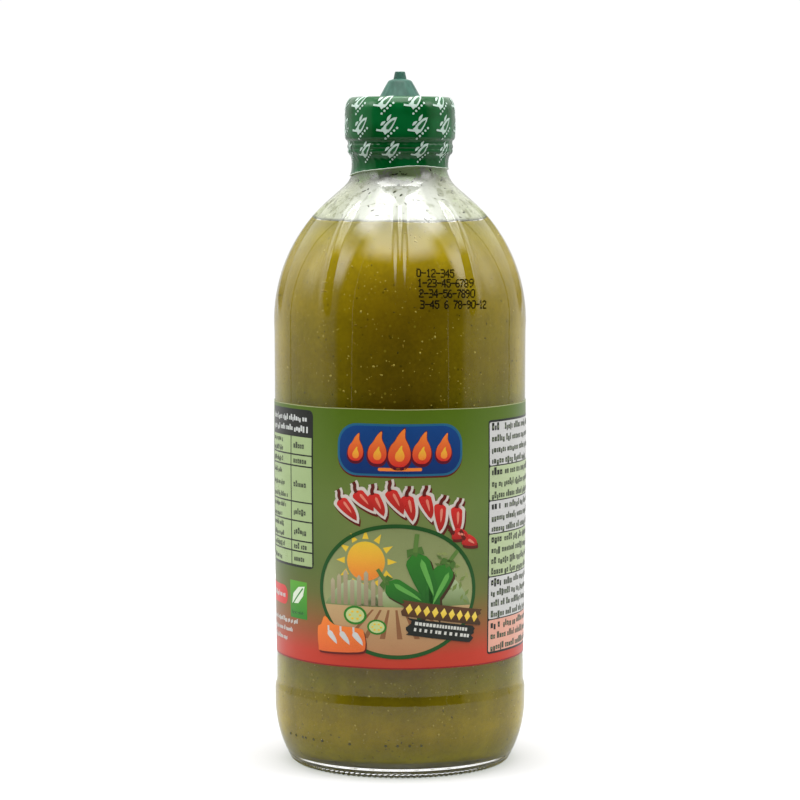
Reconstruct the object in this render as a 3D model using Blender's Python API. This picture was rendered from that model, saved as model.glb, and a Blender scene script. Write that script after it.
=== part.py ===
"""Glass bottle of green pepper sauce: bottle, sauce, wrap label, spout cap and shrink band.

Metres, +Z up. The origin is the centre of the foot and the front faces -Y. Round pieces are turned
from profiles, lists of (radius, height) points that run from the top down the outer side.
"""

import math

import bmesh
import bpy

# Clearances and thin skins
GAP = 0.0003
SKIN_GAP = 0.0002
LABEL_T = 0.00015
SLEEVE_T = 0.0002

# Bottle: contact radius at shoulder and heel, and the arcs that close the body above and below
BODY_R = 0.0355
SHOULDER_Z = 0.1247
SHOULDER_ARC_R = 0.0449
SLOPE = 49.0
NECK_R = 0.01315
NECK_FILLET_R = 0.0080
MOUTH_Z = 0.1848
MOUTH_LIP = 0.0008
HEEL_Z = 0.0177
HEEL_ARC_R = 0.0344
HEEL_LOW_Z = 0.0009

# Foot: a flat ring, rounded outside, round a hollow that rises to the push-up, as (radius, height)
FOOT_ROUND = (0.0305, 0.00025)
FOOT_OUTER_R = 0.0299
FOOT_INNER_R = 0.0262
FOOT_HOLLOW = ((0.0250, 0.0009), (0.0160, 0.0027))
PUSH_UP = 0.0034

# Label panel, a shallow barrel between two small steps
PANEL_TOP_R = 0.0354
PANEL_TOP_Z = 0.1215
PANEL_LOW_R = 0.0350
PANEL_LOW_Z = 0.0236
PANEL_STEP = 0.0028
LABEL_MARGIN = 0.0010

# Glass thickness: the cavity to the fill level holds the 473 ml that such a bottle is sold with
WALL = 0.0027
CAVITY_FLOOR_Z = 0.0042
CAVITY_CORNER_R = 0.0092
CAVITY_CROWN = 0.0028
CROWN_SIDE_R = 0.0110
CROWN_SIDE_SHARE = 0.7
FILL_Z = 0.1516

# Shoulder ribs
RIBS = 10
RIB_W = 0.0025
RIB_H = 0.00045
RIB_TOP_Z = 0.1594
RIB_LOW_Z = 0.1255
RIB_RISE = 0.0011
RIB_FADE = 0.0140
RIB_CREST_SHARE = 0.4
RIB_COLUMNS = 4
COLUMNS_BETWEEN = 3

# Wrap label, outer radii at its lower edge, waist and upper edge
LABEL_LOW_Z = 0.0312
LABEL_TOP_Z = 0.1024
LABEL_RADII = ((0.0312, 0.03506), (0.0585, 0.03541), (0.0860, 0.03562), (0.1024, 0.03550))

# Cap with its spout
CAP_TOP_Z = 0.18675
CAP_R = 0.01495
CAP_EDGE_R = 0.0026
CAP_SKIRT_Z = 0.1758
CAP_BAND_R = 0.01415
CAP_BAND_Z = 0.1749
CAP_LOW_Z = 0.1720
SPOUT_BASE_R = 0.0059
SPOUT_SHOULDER_R = 0.0036
SPOUT_SHOULDER_Z = 0.1909
SPOUT_TIP_LOW_R = 0.0019
SPOUT_TIP_LOW_Z = 0.1921
SPOUT_TIP_R = 0.00145
SPOUT_TIP_EDGE = 0.0003
SPOUT_TOP_Z = 0.1944

# Shrink band over cap and neck, outer profile from its upper edge down to the neck
SLEEVE_PROFILE = (
    (0.01260, 0.18728),
    (0.01400, 0.18700),
    (0.01490, 0.18570),
    (0.01536, 0.18420),
    (0.01547, 0.18260),
    (0.01547, 0.17620),
    (0.01478, 0.17490),
    (0.01464, 0.17420),
    (0.01472, 0.17330),
    (0.01464, 0.17215),
    (0.01390, 0.17090),
    (0.01358, 0.16940),
)
SLEEVE_EDGE_Z = 0.1667
SLEEVE_EDGE_WAVES = ((1, 0.00075, 0.00085), (2, 0.00035, 0.0), (5, 0.0, 0.00012))
SLEEVE_SKIRT_ROWS = 2

CAP_COLUMNS = 40
SLEEVE_COLUMNS = 44
CAVITY_COLUMNS = 44
CUTTER_RISE = 0.005
AXIS_R = 1e-7


def clear_scene():
    """Removes whatever the file opened with."""
    for obj in list(bpy.data.objects):
        bpy.data.objects.remove(obj, do_unlink=True)


def material(name, colour, roughness, metallic=0.0, transmission=0.0):
    """A Principled material in one colour."""
    made = bpy.data.materials.new(name)
    made.use_nodes = True
    shader = made.node_tree.nodes["Principled BSDF"]
    shader.inputs["Base Color"].default_value = (*colour, 1.0)
    shader.inputs["Roughness"].default_value = roughness
    shader.inputs["Metallic"].default_value = metallic
    shader.inputs["Transmission Weight"].default_value = transmission
    return made


def arc(centre, radius, start, end, steps):
    """Points on a circle in the (radius, height) plane, from one angle to another in degrees."""
    points = []
    for i in range(steps + 1):
        angle = math.radians(start + (end - start) * i / steps)
        points.append((centre[0] + radius * math.cos(angle), centre[1] + radius * math.sin(angle)))
    return points


def even_columns(count):
    """Column angles of a plain turned piece, the same at every radius."""
    angles = [2 * math.pi * i / count for i in range(count)]
    return lambda radius: angles


def ribbed_columns(radius):
    """Column angles of the glass: four on each rib, which keeps its width, and some between ribs."""
    sector = 2 * math.pi / RIBS
    half = RIB_W / 2 / max(radius, NECK_R)
    angles = []
    for rib in range(RIBS):
        middle = -math.pi / 2 + rib * sector
        crest = half * RIB_CREST_SHARE
        angles += [middle - half, middle - crest, middle + crest, middle + half]
        clear = sector - 2 * half
        for i in range(1, COLUMNS_BETWEEN + 1):
            angles.append(middle + half + clear * i / (COLUMNS_BETWEEN + 1))
    return angles


def turned_mesh(name, profile, columns, relief=None):
    """A closed mesh turned from a profile.

    A profile that starts and ends on the axis closes with a pole at each end, and any other is a
    closed loop round a hole. relief(row, column, angle, r, z) gives the (r, z) of a single point.
    """
    mesh = bpy.data.meshes.new(name)
    bm = bmesh.new()
    rings = []
    for row, (r, z) in enumerate(profile):
        if r < AXIS_R:
            rings.append([bm.verts.new((0.0, 0.0, z))])
            continue
        ring = []
        for column, angle in enumerate(columns(r)):
            rr, zz = relief(row, column, angle, r, z) if relief else (r, z)
            ring.append(bm.verts.new((rr * math.cos(angle), rr * math.sin(angle), zz)))
        rings.append(ring)
    pairs = list(zip(rings, rings[1:]))
    if len(rings[0]) > 1:
        pairs.append((rings[-1], rings[0]))
    for upper, lower in pairs:
        join_rings(bm, upper, lower)
    bmesh.ops.recalc_face_normals(bm, faces=bm.faces)
    bm.to_mesh(mesh)
    bm.free()
    return mesh


def join_rings(bm, upper, lower):
    """Faces between two rings, either of which may be a single point on the axis."""
    count = max(len(upper), len(lower))
    for i in range(count):
        j = (i + 1) % count
        if len(upper) == 1:
            bm.faces.new((upper[0], lower[i], lower[j]))
        elif len(lower) == 1:
            bm.faces.new((upper[i], lower[0], upper[j]))
        else:
            bm.faces.new((upper[i], lower[i], lower[j], upper[j]))


def add_object(name, mesh, look, parent, sharp=35.0):
    """Puts a mesh in the scene under the bottle's empty, shaded smooth but for its sharp edges."""
    obj = bpy.data.objects.new(name, mesh)
    bpy.context.scene.collection.objects.link(obj)
    obj.parent = parent
    mesh.materials.append(look)
    mesh.shade_smooth()
    mesh.set_sharp_from_angle(angle=math.radians(sharp))
    return obj


def neck_fillet_centre():
    """Where the neck fillet's centre sits, so that the straight slope is tangent to both arcs."""
    lean = math.radians(SLOPE)
    low_r = BODY_R - SHOULDER_ARC_R + SHOULDER_ARC_R * math.cos(lean)
    low_z = SHOULDER_Z + SHOULDER_ARC_R * math.sin(lean)
    centre_r = NECK_R + NECK_FILLET_R
    top_r = centre_r - NECK_FILLET_R * math.cos(lean)
    top_z = low_z + (low_r - top_r) / math.tan(lean)
    return centre_r, top_z + NECK_FILLET_R * math.sin(lean)


def neck_to_body(wall, steps_fillet, steps_shoulder, top_angle=SLOPE):
    """Neck fillet, slope and shoulder arc, inset from the glass's outside by a wall."""
    centre = (BODY_R - SHOULDER_ARC_R, SHOULDER_Z)
    shoulder = arc(centre, SHOULDER_ARC_R - wall, top_angle, 0.0, steps_shoulder)
    if top_angle < SLOPE:
        return shoulder
    fillet = arc(neck_fillet_centre(), NECK_FILLET_R + wall, 180.0, 180.0 + SLOPE, steps_fillet)
    return fillet + shoulder


def glass_radius_at_neck(z):
    """Outer radius of the glass on the neck or its fillet."""
    centre_r, centre_z = neck_fillet_centre()
    drop = max(centre_z - z, 0.0)
    return centre_r - math.sqrt(NECK_FILLET_R**2 - drop**2)


def label_bed():
    """The glass under the label, set back by the label's thickness and its clearance."""
    back = LABEL_T + SKIN_GAP
    return [(r - back, z) for z, r in reversed(LABEL_RADII)]


def bottle_profile():
    """Outside of the glass from the mouth to the middle of the foot."""
    points = [(0.0, MOUTH_Z), (NECK_R - MOUTH_LIP, MOUTH_Z), (NECK_R, MOUTH_Z - MOUTH_LIP)]
    points += neck_to_body(0.0, 4, 11)
    points += [(PANEL_TOP_R, PANEL_TOP_Z), (PANEL_TOP_R, LABEL_TOP_Z + LABEL_MARGIN)]
    points += label_bed()
    points += [(PANEL_LOW_R, LABEL_LOW_Z - LABEL_MARGIN), (PANEL_LOW_R, PANEL_LOW_Z)]
    centre = (BODY_R - HEEL_ARC_R, HEEL_Z)
    top_angle = math.degrees(math.asin((PANEL_LOW_Z - PANEL_STEP - HEEL_Z) / HEEL_ARC_R))
    low_angle = -math.degrees(math.asin((HEEL_Z - HEEL_LOW_Z) / HEEL_ARC_R))
    points += arc(centre, HEEL_ARC_R, top_angle, low_angle, 6)
    points += [FOOT_ROUND, (FOOT_OUTER_R, 0.0), (FOOT_INNER_R, 0.0), *FOOT_HOLLOW, (0.0, PUSH_UP)]
    return points


def cavity_profile(inset):
    """Inside of the glass below the neck, or the sauce's outside, with a further inset."""
    wall = WALL + inset
    if inset:
        level = FILL_Z - SHOULDER_Z
        top_angle = math.degrees(math.asin(level / (SHOULDER_ARC_R - wall)))
        points = [(0.0, FILL_Z)] + neck_to_body(wall, 0, 6, top_angle)
    else:
        points = [(0.0, MOUTH_Z + CUTTER_RISE), (NECK_R - wall, MOUTH_Z + CUTTER_RISE)]
        points += neck_to_body(wall, 3, 7)
    inner_r = PANEL_LOW_R - wall
    corner_centre = (inner_r - CAVITY_CORNER_R + inset, CAVITY_FLOOR_Z + CAVITY_CORNER_R)
    points += arc(corner_centre, CAVITY_CORNER_R - inset, 0.0, -90.0, 4)
    floor = CAVITY_FLOOR_Z + inset
    points += [(CROWN_SIDE_R, floor + CAVITY_CROWN * CROWN_SIDE_SHARE), (0.0, floor + CAVITY_CROWN)]
    return points


def smooth(share):
    """Eases from 0 to 1."""
    share = min(max(share, 0.0), 1.0)
    return share * share * (3 - 2 * share)


def rib_relief(row, column, angle, r, z):
    """Lifts the two crown columns of each rib, between its rounded top and its faded foot."""
    on_crown = column % (RIB_COLUMNS + COLUMNS_BETWEEN) in (1, 2)
    if not on_crown:
        return r, z
    height = RIB_H * smooth((RIB_TOP_Z - z) / RIB_RISE) * smooth((z - RIB_LOW_Z) / RIB_FADE)
    lean = math.asin(min(max((z - SHOULDER_Z) / SHOULDER_ARC_R, 0.0), 1.0))
    return r + height * math.cos(lean), z + height * math.sin(lean)


def make_bottle(parent):
    """The glass, a solid of revolution with ribs, cut by its cavity."""
    look = material("clear_glass", (0.86, 0.92, 0.86), 0.03, transmission=1.0)
    mesh = turned_mesh("bottle", bottle_profile(), ribbed_columns, rib_relief)
    bottle = add_object("bottle", mesh, look, parent)
    cavity_mesh = turned_mesh("cavity", cavity_profile(0.0), even_columns(CAVITY_COLUMNS))
    cavity = add_object("cavity", cavity_mesh, look, parent)
    cavity.hide_render = True
    cavity.display_type = "WIRE"
    hollow = bottle.modifiers.new("hollow", "BOOLEAN")
    hollow.operation = "DIFFERENCE"
    hollow.solver = "EXACT"
    hollow.object = cavity


def make_sauce(parent):
    """The filling up to its level, just clear of the glass."""
    look = material("pepper_sauce", (0.175, 0.145, 0.018), 0.45)
    mesh = turned_mesh("sauce", cavity_profile(GAP), even_columns(CAVITY_COLUMNS))
    add_object("sauce", mesh, look, parent)


def make_label(parent):
    """The paper wrap, a thin barrel round the panel."""
    look = material("printed_paper", (0.13, 0.22, 0.07), 0.45)
    outer = [(r, z) for z, r in reversed(LABEL_RADII)]
    inner = [(r - LABEL_T, z) for r, z in reversed(outer)]
    mesh = turned_mesh("label", outer + inner, ribbed_columns)
    add_object("label", mesh, look, parent)


def cap_profile():
    """Spout, cap top, skirt and tamper ring, then back up the inside."""
    points = [(0.0, SPOUT_TOP_Z), (SPOUT_TIP_R - SPOUT_TIP_EDGE, SPOUT_TOP_Z)]
    points += [(SPOUT_TIP_R, SPOUT_TOP_Z - SPOUT_TIP_EDGE), (SPOUT_TIP_LOW_R, SPOUT_TIP_LOW_Z)]
    dome = SPOUT_TIP_LOW_Z - SPOUT_SHOULDER_Z
    points += arc((SPOUT_SHOULDER_R - dome, SPOUT_SHOULDER_Z), dome, 75.0, 10.0, 3)
    points += [(SPOUT_BASE_R, CAP_TOP_Z)]
    edge = (CAP_R - CAP_EDGE_R, CAP_TOP_Z - CAP_EDGE_R)
    points += arc(edge, CAP_EDGE_R, 90.0, 0.0, 3)
    points += [(CAP_R, CAP_SKIRT_Z), (CAP_BAND_R, CAP_BAND_Z), (CAP_BAND_R, CAP_LOW_Z)]
    inner_r = NECK_R + GAP
    points += [(inner_r, CAP_LOW_Z), (inner_r, MOUTH_Z + GAP), (0.0, MOUTH_Z + GAP)]
    return points


def make_cap(parent):
    """The moulded cap and its spout, one piece."""
    look = material("cap_plastic", (0.12, 0.30, 0.22), 0.5)
    mesh = turned_mesh("cap", cap_profile(), even_columns(CAP_COLUMNS))
    add_object("cap", mesh, look, parent)


def sleeve_edge(angle):
    """Height of the band's uneven lower edge at an angle."""
    from_front = angle + math.pi / 2
    z = SLEEVE_EDGE_Z
    for order, cosine, sine in SLEEVE_EDGE_WAVES:
        z += cosine * math.cos(order * from_front) + sine * math.sin(order * from_front)
    return z


def inset_profile(points, by):
    """The same profile, moved towards the inside by a thickness."""
    moved = []
    for i, (r, z) in enumerate(points):
        before, after = points[max(i - 1, 0)], points[min(i + 1, len(points) - 1)]
        dr, dz = after[0] - before[0], after[1] - before[1]
        length = math.hypot(dr, dz)
        moved.append((r + by * dz / length, z - by * dr / length))
    return moved


def make_sleeve(parent):
    """The shrink film, drawn tight over cap and neck down to its uneven edge."""
    look = material("shrink_film", (0.006, 0.105, 0.022), 0.3)
    film = list(SLEEVE_PROFILE)
    lining = inset_profile(film, SLEEVE_T)
    film += [film[-1]] * SLEEVE_SKIRT_ROWS
    lining += [lining[-1]] * SLEEVE_SKIRT_ROWS
    rows = len(film)
    top_z = SLEEVE_PROFILE[-1][1]

    def relief(row, column, angle, r, z):
        step = min(row, 2 * rows - 1 - row) - len(SLEEVE_PROFILE) + 1
        if step <= 0:
            return r, z
        height = top_z + (sleeve_edge(angle) - top_z) * step / SLEEVE_SKIRT_ROWS
        thickness = SLEEVE_T if row < rows else 0.0
        return glass_radius_at_neck(height) + SKIN_GAP + thickness, height

    mesh = turned_mesh("sleeve", film + lining[::-1], even_columns(SLEEVE_COLUMNS), relief)
    add_object("sleeve", mesh, look, parent, 60.0)


def main():
    """Builds the five pieces under one empty."""
    clear_scene()
    whole = bpy.data.objects.new("sauce_bottle", None)
    bpy.context.scene.collection.objects.link(whole)
    make_bottle(whole)
    make_sauce(whole)
    make_label(whole)
    make_cap(whole)
    make_sleeve(whole)


main()
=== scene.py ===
"""Looks of a glass bottle of green pepper sauce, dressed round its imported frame.

Metres, +Z up, the front faces -Y. Turned pieces come from profiles, lists of (radius, height) points
that run down the outside. Printed shapes are laid out flat in millimetres, with u running right from
the middle of the front and v running up, and are then wrapped round the piece that carries them.
"""

from __future__ import annotations

import logging
import math
import random
from dataclasses import dataclass, field
from enum import Enum
from typing import Callable, Protocol, Sequence

import bmesh
import bpy
import numpy as np
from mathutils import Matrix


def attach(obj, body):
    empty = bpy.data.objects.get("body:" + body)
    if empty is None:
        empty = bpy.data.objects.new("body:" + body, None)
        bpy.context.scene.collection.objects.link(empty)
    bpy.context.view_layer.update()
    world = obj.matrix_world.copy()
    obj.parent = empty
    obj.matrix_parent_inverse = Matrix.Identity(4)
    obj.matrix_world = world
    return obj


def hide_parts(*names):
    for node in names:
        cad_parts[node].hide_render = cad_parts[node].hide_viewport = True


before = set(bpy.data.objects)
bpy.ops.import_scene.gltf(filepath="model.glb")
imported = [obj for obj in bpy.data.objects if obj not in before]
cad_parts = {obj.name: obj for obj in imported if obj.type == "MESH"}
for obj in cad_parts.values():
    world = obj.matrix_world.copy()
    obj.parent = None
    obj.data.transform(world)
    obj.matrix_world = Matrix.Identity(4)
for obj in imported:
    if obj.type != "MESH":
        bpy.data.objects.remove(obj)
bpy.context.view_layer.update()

log = logging.getLogger("pepper_sauce_bottle")

Point = tuple[float, float]
Profile = list[Point]
Colour = tuple[float, float, float]
Tones = tuple[tuple[float, float, float], ...]

MM = 0.001
BODY = "root"
AXIS_R = 1e-7
FRONT = -math.pi / 2


# Node trees


class Graph:
    """Adds and links the nodes of one tree, for materials, groups, the world and geometry."""

    def __init__(self, tree: bpy.types.NodeTree) -> None:
        """Keeps the tree.

        Args:
            tree: The tree that new nodes go into.
        """
        self.tree = tree

    def node(self, kind: str, **settings: object) -> bpy.types.Node:
        """Adds a node.

        Args:
            kind: Blender's name of the node type.
            **settings: Properties of the node, set by name.

        Returns:
            The new node.
        """
        made = self.tree.nodes.new(kind)
        for name, value in settings.items():
            setattr(made, name, value)
        return made

    def feed(self, socket: bpy.types.NodeSocket, value: object) -> None:
        """Links an output into a socket, or sets the socket's own value.

        Args:
            socket: The input to fill.
            value: An output socket, or a plain value.
        """
        if isinstance(value, bpy.types.NodeSocket):
            self.tree.links.new(value, socket)
        else:
            socket.default_value = value

    def math(self, operation: str, *values: object, clamp: bool = False) -> bpy.types.NodeSocket:
        """Adds a Math node.

        Args:
            operation: Blender's name of the operation.
            *values: Its inputs, sockets or numbers.
            clamp: Whether the result is kept from 0 to 1.

        Returns:
            The node's output.
        """
        made = self.node("ShaderNodeMath", operation=operation, use_clamp=clamp)
        for socket, value in zip(made.inputs, values):
            self.feed(socket, value)
        return made.outputs[0]

    def ease(self, value: object, low: float, high: float, start: float = 0.0,
             end: float = 1.0) -> bpy.types.NodeSocket:
        """Maps a value smoothly from one range to another, flat beyond both ends.

        Args:
            value: The value to map.
            low: Where the result leaves start.
            high: Where the result reaches end.
            start: The result at and below low.
            end: The result at and above high.

        Returns:
            The mapped value.
        """
        made = self.node("ShaderNodeMapRange", interpolation_type="SMOOTHSTEP")
        for name, number in (("Value", value), ("From Min", low), ("From Max", high),
                             ("To Min", start), ("To Max", end)):
            self.feed(made.inputs[name], number)
        return made.outputs["Result"]

    def blend(self, share: object, first: object, second: object,
              kind: str = "MIX") -> bpy.types.NodeSocket:
        """Mixes two colours.

        Args:
            share: How much of the second colour there is.
            first: A colour or an output.
            second: A colour or an output.
            kind: Blender's name of the way of mixing.

        Returns:
            The mixed colour.
        """
        made = self.node("ShaderNodeMix", data_type="RGBA", blend_type=kind)
        self.feed(made.inputs["Factor"], share)
        for name, value in (("A", first), ("B", second)):
            socket = [s for s in made.inputs if s.name == name and s.type == "RGBA"][0]
            self.feed(socket, value if isinstance(value, bpy.types.NodeSocket) else rgba(value))
        return [s for s in made.outputs if s.type == "RGBA"][0]

    def ramp(self, value: object, stops: Sequence[tuple[float, Colour]],
             smooth: bool = False) -> bpy.types.NodeSocket:
        """Turns a value into a colour.

        Args:
            value: The value, from 0 to 1.
            stops: Places and colours, lowest first.
            smooth: Whether the colours ease into each other.

        Returns:
            The colour.
        """
        made = self.node("ShaderNodeValToRGB")
        made.color_ramp.interpolation = "EASE" if smooth else "LINEAR"
        elements = made.color_ramp.elements
        while len(elements) < len(stops):
            elements.new(1.0)
        for element, (place, colour) in zip(elements, stops):
            element.position = place
            element.color = rgba(colour)
        self.feed(made.inputs["Fac"], value)
        return made.outputs["Color"]

    def noise(self, vector: object, scale: float, detail: float = 2.0,
              stretch: tuple[float, float, float] = (1.0, 1.0, 1.0)) -> bpy.types.NodeSocket:
        """Adds noise on a vector, with its scale in waves a metre.

        Args:
            vector: The place, in metres.
            scale: Waves a metre.
            detail: How many finer layers are added.
            stretch: Factors on the three axes, for grain that runs one way.

        Returns:
            The noise, about 0 to 1.
        """
        mapping = self.node("ShaderNodeMapping")
        self.feed(mapping.inputs["Vector"], vector)
        mapping.inputs["Scale"].default_value = stretch
        made = self.node("ShaderNodeTexNoise")
        self.feed(made.inputs["Vector"], mapping.outputs["Vector"])
        self.feed(made.inputs["Scale"], scale)
        self.feed(made.inputs["Detail"], detail)
        return made.outputs["Fac"]

    def bump(self, height: object, distance: float, strength: float = 1.0) -> bpy.types.NodeSocket:
        """Adds a Bump node.

        Args:
            height: The height, 0 to 1.
            distance: What a height of 1 stands for, in metres.
            strength: How strongly the bump shows.

        Returns:
            The bent normal.
        """
        made = self.node("ShaderNodeBump")
        made.inputs["Distance"].default_value = distance
        made.inputs["Strength"].default_value = strength
        self.feed(made.inputs["Height"], height)
        return made.outputs["Normal"]


def rgba(colour: Sequence[float]) -> tuple[float, float, float, float]:
    """Gives a colour an alpha of 1."""
    return (colour[0], colour[1], colour[2], 1.0)


def shader_group(name: str, inputs: Sequence[tuple[str, str, object]],
                 outputs: Sequence[tuple[str, str]]) -> tuple[Graph, bpy.types.Node, bpy.types.Node]:
    """Makes an empty shader node group with named sockets.

    Args:
        name: The group's name.
        inputs: Name, socket type and value of each input.
        outputs: Name and socket type of each output.

    Returns:
        The group's graph, its input node and its output node.
    """
    tree = bpy.data.node_groups.new(name, "ShaderNodeTree")
    for label, kind, value in inputs:
        socket = tree.interface.new_socket(label, in_out="INPUT", socket_type=kind)
        if value is not None:
            socket.default_value = value
    for label, kind in outputs:
        tree.interface.new_socket(label, in_out="OUTPUT", socket_type=kind)
    graph = Graph(tree)
    return graph, graph.node("NodeGroupInput"), graph.node("NodeGroupOutput")


def grain_group() -> bpy.types.NodeTree:
    """Uneven colour at two scales, shared by print, film and plastic.

    Returns:
        A group that puts out Shade, about 1, and Height, 0 to 1.
    """
    found = bpy.data.node_groups.get("surface_grain")
    if found:
        return found
    graph, given, out = shader_group(
        "surface_grain",
        [("Vector", "NodeSocketVector", None), ("Coarse", "NodeSocketFloat", 90.0),
         ("Fine", "NodeSocketFloat", 2600.0), ("Amount", "NodeSocketFloat", 0.1)],
        [("Shade", "NodeSocketFloat"), ("Height", "NodeSocketFloat")])
    layers = []
    for name, detail in (("Coarse", 3.0), ("Fine", 1.0)):
        noise = graph.node("ShaderNodeTexNoise")
        graph.feed(noise.inputs["Vector"], given.outputs["Vector"])
        graph.feed(noise.inputs["Scale"], given.outputs[name])
        noise.inputs["Detail"].default_value = detail
        layers.append(graph.math("SUBTRACT", noise.outputs["Fac"], 0.5))
    both = graph.math("ADD", layers[0], graph.math("MULTIPLY", layers[1], 0.8))
    change = graph.math("MULTIPLY", both, graph.math("MULTIPLY", given.outputs["Amount"], 2.0))
    graph.feed(out.inputs["Shade"], graph.math("ADD", change, 1.0))
    graph.feed(out.inputs["Height"], graph.math("ADD", layers[1], 0.5))
    return graph.tree


def pulp_group() -> bpy.types.NodeTree:
    """Ground pepper pulp, shared by the sauce and the residue it leaves on the glass.

    Returns:
        A group that puts out Shade, Bits, a mask of pale bits, and Dark, a mask of dark ones.
    """
    found = bpy.data.node_groups.get("pepper_pulp")
    if found:
        return found
    graph, given, out = shader_group(
        "pepper_pulp",
        [("Vector", "NodeSocketVector", None), ("Bit Scale", "NodeSocketFloat", 900.0)],
        [("Shade", "NodeSocketFloat"), ("Bits", "NodeSocketFloat"), ("Dark", "NodeSocketFloat")])
    cloud = graph.node("ShaderNodeTexNoise")
    graph.feed(cloud.inputs["Vector"], given.outputs["Vector"])
    cloud.inputs["Scale"].default_value = 210.0
    cloud.inputs["Detail"].default_value = 5.0
    fine = graph.node("ShaderNodeTexNoise")
    graph.feed(fine.inputs["Vector"], given.outputs["Vector"])
    graph.feed(fine.inputs["Scale"], graph.math("MULTIPLY", given.outputs["Bit Scale"], 1.4))
    fine.inputs["Detail"].default_value = 2.0
    both = graph.math("ADD", graph.math("MULTIPLY", cloud.outputs["Fac"], 0.5),
                      graph.math("MULTIPLY", fine.outputs["Fac"], 0.5))
    graph.feed(out.inputs["Shade"], graph.ease(both, 0.3, 0.7, 0.87, 1.13))
    cells = graph.node("ShaderNodeTexVoronoi")
    graph.feed(cells.inputs["Vector"], given.outputs["Vector"])
    graph.feed(cells.inputs["Scale"], given.outputs["Bit Scale"])
    split = graph.node("ShaderNodeSeparateColor")
    graph.feed(split.inputs["Color"], cells.outputs["Color"])
    near = graph.ease(cells.outputs["Distance"], 0.16, 0.34, 1.0, 0.0)
    for name, channel, low in (("Bits", "Red", 0.93), ("Dark", "Green", 0.95)):
        chosen = graph.math("GREATER_THAN", split.outputs[channel], low)
        graph.feed(out.inputs[name], graph.math("MULTIPLY", near, chosen))
    return graph.tree


# Finishes


@dataclass(frozen=True)
class Finish:
    """One look of a surface.

    Attributes:
        name: The material's name.
        colour: Its main colour.
        roughness: Its roughness.
    """

    name: str
    colour: Colour
    roughness: float

    def material(self) -> bpy.types.Material:
        """The Blender material, made at first use."""
        found = bpy.data.materials.get(self.name)
        if found:
            return found
        made = bpy.data.materials.new(self.name)
        made.use_nodes = True
        shader = made.node_tree.nodes["Principled BSDF"]
        shader.inputs["Base Color"].default_value = rgba(self.colour)
        shader.inputs["Roughness"].default_value = self.roughness
        self.dress(Graph(made.node_tree), shader)
        return made

    def dress(self, graph: Graph, shader: bpy.types.Node) -> None:
        """Adds this finish's own nodes.

        Args:
            graph: The material's graph.
            shader: Its Principled shader.
        """
        raise NotImplementedError

    def place(self, graph: Graph) -> bpy.types.NodeSocket:
        """The place on the piece, in metres."""
        return graph.node("ShaderNodeTexCoord").outputs["Object"]

    def grain(self, graph: Graph, coarse: float, fine: float, amount: float) -> bpy.types.Node:
        """Places the shared grain group.

        Args:
            graph: The material's graph.
            coarse: Waves a metre of the broad change.
            fine: Waves a metre of the fine change.
            amount: How strong the change is.

        Returns:
            The group node.
        """
        made = graph.node("ShaderNodeGroup", node_tree=grain_group())
        graph.feed(made.inputs["Vector"], self.place(graph))
        for name, value in (("Coarse", coarse), ("Fine", fine), ("Amount", amount)):
            made.inputs[name].default_value = value
        return made


@dataclass(frozen=True)
class ClearGlass(Finish):
    """Pressed container glass. Light on its way to what lies behind passes straight through it.

    Attributes:
        shadow: What straight light keeps of its colour on its way through.
        ior: How strongly the glass bends light.
    """

    shadow: Colour = (0.93, 0.96, 0.93)
    ior: float = 1.5

    def dress(self, graph: Graph, shader: bpy.types.Node) -> None:
        """Adds the transmission, a faint waviness and the straight way through for shadows."""
        shader.inputs["Transmission Weight"].default_value = 1.0
        shader.inputs["IOR"].default_value = self.ior
        wave = graph.noise(self.place(graph), 55.0, 2.0, (1.0, 1.0, 0.45))
        graph.feed(shader.inputs["Normal"], graph.bump(wave, 0.00016))
        straight = graph.node("ShaderNodeBsdfTransparent")
        straight.inputs["Color"].default_value = rgba(self.shadow)
        path = graph.node("ShaderNodeLightPath")
        soft = graph.math("MAXIMUM", path.outputs["Is Shadow Ray"], path.outputs["Is Diffuse Ray"])
        chosen = graph.node("ShaderNodeMixShader")
        graph.feed(chosen.inputs[0], soft)
        graph.feed(chosen.inputs[1], shader.outputs["BSDF"])
        graph.feed(chosen.inputs[2], straight.outputs["BSDF"])
        ending = graph.tree.nodes["Material Output"]
        graph.feed(ending.inputs["Surface"], chosen.outputs["Shader"])


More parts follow.
